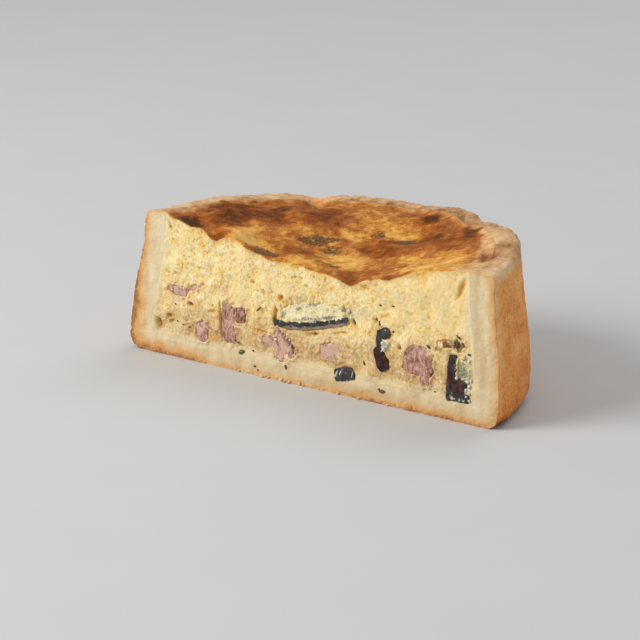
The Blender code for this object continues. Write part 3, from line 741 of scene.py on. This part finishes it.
class Look:
    """A procedural material, put together from nodes."""

    def __init__(self, name):
        self.material = bpy.data.materials.new(name)
        self.material.use_nodes = True
        self.nodes = self.material.node_tree.nodes
        self.links = self.material.node_tree.links
        self.shader = self.nodes["Principled BSDF"]
        self.place = self.nodes.new("ShaderNodeTexCoord").outputs["Object"]

    def feed(self, socket, value):
        """Gives an input another node's output, a colour or a plain number."""
        if isinstance(value, bpy.types.NodeSocket):
            self.links.new(value, socket)
        else:
            socket.default_value = (*value, 1) if socket.type == "RGBA" else value

    def grain(self, size, detail=3, roughness=0.6, stretch=None, distortion=0):
        """Soft noise between 0 and 1 with features of a size in millimetres."""
        place = self.place
        if stretch:
            scaled = self.nodes.new("ShaderNodeVectorMath")
            scaled.operation = "MULTIPLY"
            self.links.new(place, scaled.inputs[0])
            scaled.inputs[1].default_value = stretch
            place = scaled.outputs[0]
        made = self.nodes.new("ShaderNodeTexNoise")
        for name, given in (("Vector", place), ("Scale", 1 / (size * MM)), ("Detail", detail),
                            ("Roughness", roughness), ("Distortion", distortion)):
            self.feed(made.inputs[name], given)
        return made.outputs["Fac"]

    def pebbles(self, size):
        """Distance from the nearest of scattered grains of a size in millimetres."""
        made = self.nodes.new("ShaderNodeTexVoronoi")
        self.feed(made.inputs["Vector"], self.place)
        self.feed(made.inputs["Scale"], 1 / (size * MM))
        return made.outputs["Distance"]

    def stored(self, name):
        """What a piece's points are like, as marked on its mesh."""
        made = self.nodes.new("ShaderNodeAttribute")
        made.attribute_name = name
        return made.outputs["Fac"]

    def span(self, value, low, high, start=0, end=1):
        """Maps one span of values to another, eased and held at its ends."""
        made = self.nodes.new("ShaderNodeMapRange")
        made.interpolation_type = "SMOOTHSTEP"
        for name, given in (("Value", value), ("From Min", low), ("From Max", high),
                            ("To Min", start), ("To Max", end)):
            self.feed(made.inputs[name], given)
        return made.outputs["Result"]

    def worked(self, operation, first, *others):
        """Takes the values together from left to right."""
        for other in others:
            made = self.nodes.new("ShaderNodeMath")
            made.operation = operation
            self.feed(made.inputs[0], first)
            self.feed(made.inputs[1], other)
            first = made.outputs[0]
        return first

    def total(self, *values):
        return self.worked("ADD", *values)

    def times(self, *values):
        return self.worked("MULTIPLY", *values)

    def sway(self, value, amount, middle=0.5):
        """How far a value is from its middle, times an amount."""
        return self.times(self.worked("SUBTRACT", value, middle), amount)

    def mix(self, factor, first, second):
        made = self.nodes.new("ShaderNodeMix")
        made.data_type = "RGBA"
        for number, given in ((0, factor), (6, first), (7, second)):
            self.feed(made.inputs[number], given)
        return made.outputs[2]

    def tinted(self, colour, name, tint):
        """Lays a tint over a colour where the mesh is marked for it."""
        return self.mix(self.stored(name), colour, tint)

    def ramp(self, factor, *stops):
        """Colours along a value, each stop with its place and its red, green and blue."""
        made = self.nodes.new("ShaderNodeValToRGB")
        self.feed(made.inputs["Fac"], factor)
        band = made.color_ramp
        while len(band.elements) < len(stops):
            band.elements.new(0.5)
        for element, (place, *colour) in zip(band.elements, stops):
            element.position = place
            element.color = (*seen(*colour), 1)
        return made.outputs["Color"]

    def bump(self, height, strength, distance, under=None):
        """Fine relief, with its height in millimetres."""
        made = self.nodes.new("ShaderNodeBump")
        made.inputs["Strength"].default_value = strength
        made.inputs["Distance"].default_value = distance * MM
        self.feed(made.inputs["Height"], height)
        if under:
            self.links.new(under, made.inputs["Normal"])
        return made.outputs["Normal"]

    def finish(self, colour, roughness, normal, gloss=0.5, soft=None):
        """The finished material; soft is how much light enters, how deep in mm, and its colour."""
        given = {"Base Color": colour, "Roughness": roughness, "Normal": normal,
                 "Specular IOR Level": gloss}
        if soft:
            amount, depth, tint = soft
            given |= {"Subsurface Weight": amount, "Subsurface Scale": depth * MM,
                      "Subsurface Radius": tint}
        for name, value in given.items():
            self.feed(self.shader.inputs[name], value)
        return self.material


def seen(red, green, blue):
    """A colour as the eye gives it, 0 to 255, as light."""
    return tuple((part / 255) ** 2.2 for part in (red, green, blue))


def custard_look():
    look = Look("baked_custard")
    fine = look.grain(0.9, 4, 0.65)
    mottle = look.grain(2.4, 4, 0.6)
    # The crumb's ramp is painted shade and highlight: paler on its lumps, darker in its hollows
    crumb = look.ramp(look.total(look.stored("crevice"), look.times(fine, 0.2)),
                      (0.1, 239, 224, 180), (0.38, 234, 209, 150), (0.62, 226, 189, 110),
                      (0.84, 208, 158, 80), (1, 150, 100, 50))
    broad = look.span(look.grain(5, 2, 0.5), 0.42, 0.68, 0, 0.28)
    crumb = look.mix(broad, crumb, seen(231, 201, 130))
    clotted = look.span(look.grain(1.5, 4, 0.7), 0.38, 0.62, 0.45, 1.35)
    crumb = look.mix(look.times(look.stored("dense"), clotted), crumb, seen(188, 152, 106))
    # honey: deeper yellow of the custard; in the holes and the slit it is painted shade
    honey = look.times(look.stored("honey"), look.span(fine, 0.3, 0.6, 0.5, 1))
    crumb = look.mix(honey, crumb, seen(226, 170, 70))
    crumb = look.tinted(crumb, "inky", seen(66, 64, 60))
    crumb = look.mix(look.times(look.stored("stain"), 0.5), crumb, seen(206, 162, 132))
    crumb = look.tinted(crumb, "whitish", seen(226, 220, 198))
    brown = look.total(look.stored("brown"), look.times(fine, 0.1), look.sway(mottle, 0.42),
                       look.times(look.grain(6, 3, 0.5), 0.24),
                       look.sway(look.grain(0.8), 0.34))
    skin = look.ramp(brown, (0.22, 232, 196, 112), (0.36, 225, 172, 87), (0.48, 205, 142, 64),
                     (0.6, 170, 102, 45), (0.74, 141, 76, 24), (0.88, 106, 56, 14), (1, 76, 42, 12))
    herb = look.total(look.stored("herb"), look.times(look.grain(1.2, 4, 0.8), 2))
    skin = look.mix(look.span(herb, 1.72, 2, 0, 0.85), skin, seen(74, 66, 46))
    pitted = look.total(mottle, look.times(look.stored("pitted"), 0.5))
    tan = look.ramp(pitted, (0.3, 228, 184, 126), (0.6, 200, 148, 94), (0.95, 146, 92, 56))
    colour = look.tinted(crumb, "skin", look.tinted(skin, "tanned", tan))
    rough = look.span(look.grain(2, 2, 0.5), 0.3, 0.7, 0.46, 0.64)
    calm = look.span(look.stored("skin"), 0, 1, 1, 0.3)
    grit = look.bump(look.times(look.pebbles(0.75), calm), 0.3, 0.2)
    normal = look.bump(look.times(look.grain(0.5, 3, 0.7), calm), 0.4, 0.14, grit)
    return look.finish(colour, rough, normal, 0.1, (0.2, 1.8, (1, 0.7, 0.35)))


def pastry_look():
    look = Look("baked_pastry")
    fine = look.grain(0.7, 4, 0.7)
    sand = look.grain(1.6, 4, 0.7)
    tone = look.total(look.times(fine, 0.6), look.times(look.grain(9, 3, 0.55), 0.4),
                      look.times(sand, 0.6), look.worked("SUBTRACT", look.stored("toast"), 0.27),
                      look.sway(look.grain(2.4, 3, 0.6, (1, 1, 0.14)), 0.1))
    outside = look.ramp(tone, (0.25, 254, 210, 150), (0.44, 250, 184, 114), (0.62, 236, 152, 80),
                        (0.8, 194, 112, 58), (1, 118, 66, 36))
    rim = look.ramp(tone, (0.28, 216, 182, 142), (0.5, 196, 154, 112), (0.72, 164, 118, 78),
                    (1, 108, 72, 48))
    outside = look.tinted(look.tinted(outside, "rim", rim), "cream", seen(226, 192, 138))
    layers = look.total(look.grain(3.4, 3, 0.55, (1, 1, 0.3)), look.times(fine, 0.4))
    section = look.ramp(layers, (0.4, 228, 211, 175), (0.75, 217, 196, 156), (1, 198, 169, 126))
    # tan: the pastry's darker streaks and bottom, with painted shade on the right of the cut
    section = look.tinted(section, "tan", seen(194, 162, 118))
    baked = look.stored("baked")
    baked = look.total(baked, look.sway(look.total(sand, fine), baked, 1))
    # baked: browning of the cut edge; along the bottom it is partly painted shade under the foot
    section = look.mix(look.span(baked, 0, 0.95), section, seen(211, 161, 103))
    section = look.mix(look.span(baked, 0.8, 1.5), section, seen(158, 108, 66))
    colour = look.tinted(outside, "section", section)
    rough = look.span(sand, 0.3, 0.7, 0.7, 0.86)
    calm = look.span(look.stored("section"), 0, 1, 1, 0.35)
    grit = look.bump(look.times(look.pebbles(0.8), calm), 0.45, 0.25)
    normal = look.bump(look.times(look.total(fine, sand), calm), 0.5, 0.25, grit)
    return look.finish(colour, rough, normal, 0.12, (0.06, 1, (1, 0.6, 0.3)))


def ham_look(name, fat, *stops):
    look = Look(name)
    marbling = look.grain(2.2, 4, 0.65, (1, 1, 0.6), 1)
    fibres = look.grain(0.7, 3, 0.7, (1, 1, 0.3))
    tone = look.total(look.span(marbling, 0.28, 0.72, 0.05, 0.72),
                      look.span(fibres, 0.3, 0.7, 0, 0.18), look.stored("shade"))
    fatty = look.span(look.grain(2.6, 2, 0.5, None, 2), 0.56, 0.7, 0, 0.6)
    colour = look.mix(fatty, look.ramp(tone, *stops), fat)
    crumbed = look.total(look.stored("crumbed"), look.times(look.grain(1.8, 4, 0.7), 2))
    colour = look.mix(look.span(crumbed, 1.34, 1.48), colour, seen(230, 204, 148))
    rough = look.span(marbling, 0.3, 0.7, 0.36, 0.55)
    normal = look.bump(fibres, 0.35, 0.1, look.bump(marbling, 0.4, 0.3))
    normal = look.bump(look.span(crumbed, 1.3, 1.5), 0.6, 0.3, normal)
    return look.finish(colour, rough, normal, 0.4, (0.1, 1, (1, 0.4, 0.3)))


def aubergine_look():
    look = Look("aubergine_skin")
    fine = look.grain(0.8)
    broad = look.grain(2.8, distortion=1)
    skin = look.ramp(look.total(look.times(fine, 0.5), look.times(broad, 0.5)),
                     (0.3, 28, 25, 26), (0.5, 52, 49, 51), (0.7, 102, 98, 94))
    flesh = look.ramp(broad, (0.3, 24, 8, 6), (0.52, 54, 16, 10), (0.72, 100, 40, 26))
    grey = look.ramp(fine, (0.3, 124, 106, 88), (0.7, 166, 146, 124))
    colour = look.tinted(look.tinted(skin, "grey", grey), "flesh", flesh)
    # pale: painted highlights, pale streaks that stand for the glints of the shiny skin
    pale = look.span(look.total(look.stored("pale"), fine), 0.85, 1.15)
    colour = look.mix(pale, colour, seen(196, 190, 172))
    return look.finish(colour, look.span(broad, 0.3, 0.7, 0.36, 0.55), look.bump(fine, 0.5, 0.25), 0.35)


def cheese_look():
    look = Look("crumbled_blue_cheese")
    fine = look.grain(0.7)
    # painted shade: the cheese is darker in the hollows of its crumb
    colour = look.ramp(look.total(look.stored("crevice"), look.times(fine, 0.3)),
                       (0.1, 238, 229, 194), (0.42, 228, 214, 168), (0.75, 200, 182, 134),
                       (1, 144, 130, 92))
    custardy = look.span(look.grain(2.6, distortion=3), 0.46, 0.62, 0, 0.75)
    colour = look.mix(custardy, colour, seen(232, 210, 152))
    mould = look.total(look.stored("mould"), look.grain(2, 3, 0.65, None, 0.8))
    blue = look.ramp(fine, (0.35, 62, 66, 62), (0.62, 142, 144, 120))
    colour = look.mix(look.span(mould, 0.66, 0.96, 0, 0.8), colour, blue)
    normal = look.bump(look.pebbles(0.7), 0.4, 0.25, look.bump(fine, 0.4, 0.2))
    rough = look.span(fine, 0.3, 0.7, 0.5, 0.7)
    return look.finish(colour, rough, normal, 0.35, (0.1, 1, (1, 0.9, 0.7)))


def bit_look(name, dark, light):
    look = Look(name)
    fine = look.grain(0.5)
    colour = look.ramp(fine, (0.3, *dark), (0.7, *light))
    return look.finish(colour, look.span(fine, 0.3, 0.7, 0.5, 0.75), look.bump(fine, 0.5, 0.15), 0.35)


def ring_degrees(step):
    """Turns of the profile: fine over the half that is left, coarse over the rest."""
    half = round(188 * math.radians(1) * BASE_RADIUS / step)
    return np.concatenate((np.linspace(-4, 184, half), np.linspace(190, 350, 33)))


def baked_edge(x, y, z):
    """How brown the cut pastry is towards its outside, its underside and its rim; the band along the
    bottom is partly browning and partly painted shade under the foot.
    """
    left = ease((-40 - x) / 16)
    right = ease((x - 6) / 20)
    low_left = left * ease((34 - z) / 22)
    side = held(1 - from_wall(x, z, "outer") / (5.2 + 5 * low_left)) ** 1.25
    side = (0.95 + 0.3 * left + 0.4 * low_left) * side
    # under: partly the browned underside, partly painted shade where the foot meets the floor
    under = held(1 - (z - 0.2) / (3.4 + 3.2 * left + 0.8 * right)) ** 1.2
    under = (0.8 + 0.65 * left + 0.5 * right) * under
    top = RIM_HEIGHT + lift(x, y, z) - z
    baked = np.maximum(np.maximum(side, under), 0.7 * fade(top / 1.6))
    return baked + 0.25 * ease(baked * 2) * ripple(x, y, z, 5, 71)


def section_streaks_and_shade(x, z):
    """The darker streaks and darker bottom of the cut pastry, and painted shade that makes its right side
    darker.
    """
    # the first term is painted shade, darker towards the right of the cut
    tan = 0.14 * ease((x - 40) / 18) + 0.36 * fade((z - 3) / 5)
    tan += 0.2 * ripple(x, 0, z / 9, 2.2, 99) * ease((np.abs(x) - 60) / 4)
    return held(tan + blobs(x, z, TAN_STREAKS))


def toasting(x, y, z, behind, on_rim):
    """How dark the baked outside and the rim are, at a distance behind the cut."""
    toast = 0.2 * fade(z / 5) + 0.15 * fade(z / 32)
    toast += 0.08 * ripple(x, y, z, 12, 73) + 0.12 * on_rim * ripple(x, y, z, 3.4, 79)
    toast += (0.5 * blobs(x, y, RIM_PITS) + 0.22 * blobs(x, y, RIM_GREY)) * on_rim
    toast -= 0.18 * fade(behind / 6) * ease((x - 60) / 8) * (1 - on_rim)
    toast -= 0.25 * ease((x - 66) / 5) * on_rim
    toast -= 0.12 * on_rim * ease((-5 - x) / 40)
    from_lip = np.hypot(x, y) - RIM_INNER - 1.6 * ripple(x, y, 0, 5, 77)
    lip = fade(from_lip / 2.6) * ease((z - 44) / 4)
    return toast + 0.18 * lip * (1 - 0.8 * ease((x - 30) / 20))


def make_crust(cutter):
    """The pastry case, with its sandy outside, its rim and its cut edge."""
    points, faces = turned(case_profile(), ring_degrees(WALL_STEP))
    thing = mesh_object("crust_shell", np.stack(uneven(*sanded(*points.T)), -1), faces)
    outward(thing)
    combine(thing, cutter)
    drop_scraps(thing)
    x, y, z = places(thing)
    behind = y - cut_face(x, z)
    on_rim = ease((z - RIM_HEIGHT + 3) / 3.5)
    cream = blobs(x, y, RIM_CREAM) * on_rim * (0.8 + 0.3 * ripple(x, y, z, 3, 75))
    mark(thing, section=fade((behind - 0.03) / 0.12), baked=baked_edge(x, y, z),
         tan=section_streaks_and_shade(x, z), toast=toasting(x, y, z, behind, on_rim), rim=on_rim,
         cream=held(cream))
    dress(thing, pastry_look(), "pastry", "crust")


def skin_marks(x, z, below, on_cut):
    """Where the skin of the top runs down into the cut, the honey tone beneath it, and the deeper yellow
    in the holes and the slit, which is painted shade.
    """
    thick = 0.7 + 0.5 * ripple(x, 0, 0, 5, 81)
    skin = np.where(on_cut > 0.5, fade((below - 0.25 * thick) / thick), 1)
    fringe = fade(below / (2.6 + 1.6 * ripple(x, 0, 0, 7, 111)))
    glow = 0.3 * fringe * ease(0.5 + ripple(x, 0, z, 4, 89))
    skin = np.where(below > 3, 0, np.maximum(skin, glow))
    honey = blobs(x + 0.4 * ripple(x, 0, z, 1.4, 109), z, HONEY)
    honey += 0.75 * fringe * ease(0.6 + ripple(x, 0, z, 5, 113)) * on_cut
    return {"skin": skin, "honey": held(honey + 0.8 * blobs(x, z, (SLIT,)))}


def cut_marks(x, z):
    """Painted shade in the hollows, the holes and round the pieces, and the tints and stains of the cut
    custard.
    """
    # crevice is painted shade: darker in the crumb's hollows, in the holes and the slit, and in a ring
    # round every piece
    crevice = (crumbs_of_cut(x, z) + 0.24) / 0.75 + 0.4 * blobs(x, z, HOLES)
    crevice += 0.5 * blobs(x, z, (SLIT,))
    crevice += 0.12 * np.exp(-(piece_distance(x, z) / 0.8) ** 2)
    stain = np.exp(-(np.clip(piece_distance(x, z, HAMS), 0, None) / 2.2) ** 2)
    stain *= 0.5 + 0.5 * ripple(x, 0, z, 3, 83)
    inside = from_case(x, z) / 4
    dense = 0.78 * ease((27 - z) / 13) * (0.85 + 0.45 * ripple(x, 0, z, 5, 103))
    inky = blobs(x + 0.5 * ripple(x, 0, z, 1.6, 105), z, INKY)
    return {"crevice": np.clip(crevice, 0, 1.2),
            "stain": held(stain + blobs(x, z, STAINED)),
            "whitish": np.clip(blobs(x, z, WHITISH) + 0.3 * fade(inside), 0, 0.9),
            "dense": held(dense * (0.65 + 0.35 * ease(inside))),
            "inky": held(inky * (0.6 + 0.5 * ripple(x, 0, z, 1.6, 115)))}


def top_marks(x, y, below):
    """The browning of the top, its herbs, and the tan band along the rim."""
    drift = [2.2 * ripple(x, y, 0, 8, seed) + 0.9 * ripple(x, y, 0, 2.4, seed + 1)
             for seed in (91, 93)]
    brown = BASE_BROWN + blobs(x + drift[0], y + drift[1], BROWNED)
    brown += 0.07 * ripple(x, y, 0, 5, 85) + 0.07 * ripple(x, y, 0, 2.2, 87)
    herb = held(blobs(x + 0.6 * drift[1], y + 0.6 * drift[0], HERBED))
    reach = 2.4 + 4.4 * ease((x - 40) / 12) + 1.4 * ripple(x, y, 0, 4, 107)
    tanned = ease((np.hypot(x, y) - RIM_INNER + reach) / 2.2)
    return {"brown": held(brown), "herb": herb * (below < 2), "pitted": blobs(x, y, RIM_PITS),
            "tanned": held(tanned * (0.55 + 0.45 * ease((x - 20) / 20)))}


def make_custard(cutter):
    """The custard, with its crumbly cut and its browned, sunken top."""
    points, faces = turned(plug_profile(), ring_degrees(PLUG_STEP))
    thing = mesh_object("custard_crumb", np.stack(uneven(*points.T), -1), faces)
    outward(thing)
    cover = lid()
    combine(thing, cover)
    combine(thing, cutter)
    remove(cover)
    drop_scraps(thing)
    x, y, z = places(thing)
    below = top_height(x, y) - z
    on_cut = fade((y - cut_face(x, z) - 0.05) / 0.2)
    mark(thing, **skin_marks(x, z, below, on_cut), **cut_marks(x, z), **top_marks(x, y, below))
    dress(thing, custard_look(), "custard", "custard")


def parts_of(shape):
    """A shape's points and faces; the shape itself is given up."""
    shape.verts.index_update()
    points = np.array([vertex.co for vertex in shape.verts])
    faces = [[vertex.index for vertex in face.verts] for face in shape.faces]
    shape.free()
    return points, faces


def make_lump(name, sizes, power, rougher, seed):
    """A rounded, uneven box that runs out through the cut face, for the knife to trim."""
    across, height, width, tall, deep, turn, bend, taper = sizes
    half = np.array((width, deep + LUMP_LEAD, tall)) / 2
    shape = bmesh.new()
    bmesh.ops.create_cube(shape, size=2)
    bmesh.ops.subdivide_edges(shape, edges=list(shape.edges), cuts=LUMP_CUTS, use_grid_fill=True)
    point, faces = parts_of(shape)
    point /= (np.abs(point) ** power).sum(1, keepdims=True) ** (1 / power)
    placed = point * half
    placed[:, 0] *= 1 + taper * point[:, 2]
    placed[:, 2] += bend * (1 - point[:, 0] ** 2)
    x, y, z = placed.T.copy()
    for axis in range(3):
        own = seed + 3 * axis
        shake = LUMP_ROUGHNESS * min(width, tall) * ripple(x, y, z, LUMP_GRAIN, own)
        for size, other, amount in LUMP_LAYERS:
            shake += amount * rougher * ripple(x, y, z, size, own + other)
        placed[:, axis] += shake
    placed = placed @ np.array(Matrix.Rotation(-math.radians(turn), 3, "Y")).T
    return mesh_object(name, placed + (across, half[1] - LUMP_LEAD, height), faces)


def make_piece(name, cutter, seed):
    """One piece of filling, fused from its lumps and trimmed at the cut."""
    thing = None
    for number, sizes in enumerate(PIECES[name]):
        rougher = 1 if thing else ROUGHER.get(name, 1)
        lump = make_lump("lump" if thing else name + "_cut", sizes, squareness(name), rougher,
                         seed + number)
        if thing:
            combine(thing, lump, "UNION")
            remove(lump)
        else:
            thing = lump
    combine(thing, cutter)
    drop_scraps(thing)
    return thing


def ham_marks(name, place):
    """How dark a piece of ham is, with painted shade along its outline, and where custard clings to it."""
    x, _, z = place
    away = piece_distance(x, z, (name,))
    # the 0.07 term is painted shade, darker towards the piece's outline where it meets the custard
    shade = PALER.get(name, 0.02) + 0.07 * ease((away + 0.9) / 0.9) + blobs(x, z, HAM_SHADES)
    edge = 0.42 if name in FLOURY else 0.16
    return {"shade": shade, "crumbed": edge * ease((away + 2.4) / 2.4) + blobs(x, z, CRUMBED)}


def aubergine_marks(name, place):
    """Red flesh of a piece of aubergine, pale streaks on it that are painted highlights, and the long
    strip's grey underside.
    """
    x, y, z = place
    band = z - 24.2 - 0.21 * x + 1.4 * (1 - (x / 16.2) ** 2) + 0.5 * ripple(x, y, z, 2, 101)
    grey = 0.9 * fade((band + 0.4) / 0.6) * ease((x + 13) / 3) * (name == "aubergine_1")
    return {"flesh": held(blobs(x, z, FLESH)), "pale": held(blobs(x, z, GLINT_STREAKS)), "grey": grey}


def cheese_marks(name, place):
    """Painted shade in the hollows of the cheese, and its mould."""
    x, _, z = place
    mould = 0.08 + 0.14 * (name == "blue_cheese_2") + blobs(x, z, MOULD)
    return {"crevice": (crumbs_of_cut(x, z) + 0.24) / 0.85, "mould": mould}


def make_filling():
    """The pieces of ham, aubergine and blue cheese that the cut shows."""
    smooth = knife("smooth_knife", fibre_face, FILLING_WIDE, FILLING_HIGH)
    crumbly = knife("crumb_knife", cheese_face, FILLING_WIDE, FILLING_HIGH)
    looks = {"ham": ham_look("ham_meat", seen(216, 180, 166), (0.25, 200, 164, 144),
                             (0.42, 182, 138, 120), (0.58, 162, 114, 98), (0.78, 124, 80, 56),
                             (1, 76, 46, 28)),
             "ham_fat": ham_look("browned_ham_fat", seen(200, 156, 120), (0.25, 216, 176, 116),
                                 (0.46, 186, 142, 86), (0.66, 130, 88, 50), (1, 60, 38, 24)),
             "aubergine": aubergine_look(), "blue_cheese": cheese_look()}
    marks = {"ham": ham_marks, "aubergine": aubergine_marks, "blue_cheese": cheese_marks}
    for number, name in enumerate(PIECES):
        kind = name.rsplit("_", 1)[0]
        slot = "ham_fat" if name == "ham_7" else kind
        thing = make_piece(name, crumbly if kind == "blue_cheese" else smooth, 7 * number)
        mark(thing, **marks[kind](name, places(thing)))
        dress(thing, looks[slot], slot, name)
    remove(smooth, crumbly)


def bits(name, slot, look, thick, marks):
    """Small flat scraps that lie in the cut face."""
    shape = bmesh.new()
    bmesh.ops.create_icosphere(shape, subdivisions=2, radius=1)
    ball, triangles = parts_of(shape)
    points, faces = [], []
    for number, (across, height, width, tall, turn) in enumerate(marks):
        cos, sin = cos_sin(turn)
        lump = ball * (1 + 0.35 * ripple(*ball.T, 0.9, 5 * number + 2))[:, None]
        along, aside = lump[:, 0] * width, lump[:, 2] * tall
        x = across + along * cos - aside * sin
        z = height + along * sin + aside * cos
        front = cut_face(*np.array([[across], [height]], float))[0]
        points.append(np.stack((x, front - 0.1 + thick * lump[:, 1], z), -1))
        faces.append(np.array(triangles) + number * len(ball))
    thing = mesh_object(name, np.concatenate(points), np.concatenate(faces).tolist())
    dress(thing, look, slot)


def make_bits():
    """Herb flakes, dark specks and cheese crumbs in the cut, and pastry crumbs at its foot."""
    herb = bit_look("herb", (58, 66, 40), (116, 122, 76))
    bits("herb_flakes", "custard", herb, 0.45, GREEN_BITS)
    dark = bit_look("dark_speck", (58, 48, 42), (120, 98, 72))
    bits("dark_specks", "custard", dark, 0.45, DARK_BITS)
    cheese = bit_look("cheese_crumb", (148, 152, 132), (236, 230, 206))
    bits("cheese_crumbs", "blue_cheese", cheese, 0.7, CHEESE_BITS)
    pastry = bit_look("pastry_crumb", (214, 170, 108), (236, 206, 150))
    fallen = [(across, 0.75 * size, size, 0.8 * size, 20 * number)
              for number, (across, size) in enumerate(CRUMBS)]
    bits("fallen_crumbs", "pastry", pastry, 0.8, fallen)


def make_camera():
    """Looks down at the cut from its front right, as the photo does."""
    turn, rise, roll = (cos_sin(angle) for angle in (CAMERA_TURN, CAMERA_RISE, CAMERA_ROLL))
    back = Vector((turn[1] * rise[0], -turn[0] * rise[0], rise[1]))
    right = Vector((turn[0], turn[1], 0))
    up = back.cross(right)
    target = Vector(CAMERA_AIM) + right * AIM_ACROSS + up * AIM_UP
    axes = Matrix((right * roll[0] + up * roll[1], up * roll[0] - right * roll[1], back))
    data = bpy.data.cameras.new("view")
    data.lens = CAMERA_LENS
    data.sensor_width = 36
    data.clip_start = 0.01
    camera = bpy.data.objects.new("view", data)
    place = (target + back * CAMERA_DISTANCE) * MM + Vector(AXIS_PLACE)
    camera.matrix_world = Matrix.Translation(place) @ axes.transposed().to_4x4()
    bpy.context.scene.collection.objects.link(camera)
    bpy.context.scene.camera = camera


def make_light(name, place, size, watts):
    """A round soft light that points at the quiche."""
    data = bpy.data.lights.new(name, "AREA")
    data.shape = "DISK"
    data.size = size
    data.energy = watts
    light = bpy.data.objects.new(name, data)
    light.location = place
    light.rotation_euler = (Vector(LIGHT_AIM) - Vector(place)).to_track_quat("-Z", "Y").to_euler()
    bpy.context.scene.collection.objects.link(light)


def make_studio():
    """A pale floor under soft light from above and the front left."""
    shape = bmesh.new()
    bmesh.ops.create_circle(shape, cap_ends=True, segments=96, radius=FLOOR_RADIUS)
    mesh = bpy.data.meshes.new("floor")
    shape.to_mesh(mesh)
    shape.free()
    floor = bpy.data.objects.new("floor", mesh)
    bpy.context.scene.collection.objects.link(floor)
    look = Look("pale_floor")
    grain = look.grain(40, 2, 0.5)
    colour = look.ramp(grain, (0.3, *FLOOR_GREYS[0]), (0.7, *FLOOR_GREYS[1]))
    floor.data.materials.append(look.finish(colour, 0.85, look.bump(grain, 0.02, 0.1)))
    bpy.context.scene.view_settings.view_transform = "Standard"
    make_light("key", (-0.75, -1.05, 0.85), 0.9, 19)
    make_light("overhead", (0.1, 1.1, 1.5), 1.4, 9)
    world = bpy.data.worlds.new("studio")
    world.use_nodes = True
    sky = world.node_tree.nodes["Background"].inputs
    sky["Color"].default_value = (1, 1, 1, 1)
    sky["Strength"].default_value = DAYLIGHT
    bpy.context.scene.world = world


def main():
    make_camera()
    make_studio()
    cutter = knife("knife", cut_face, CUT_WIDE, CUT_HIGH)
    make_crust(cutter)
    make_custard(cutter)
    remove(cutter)
    make_filling()
    make_bits()


main()
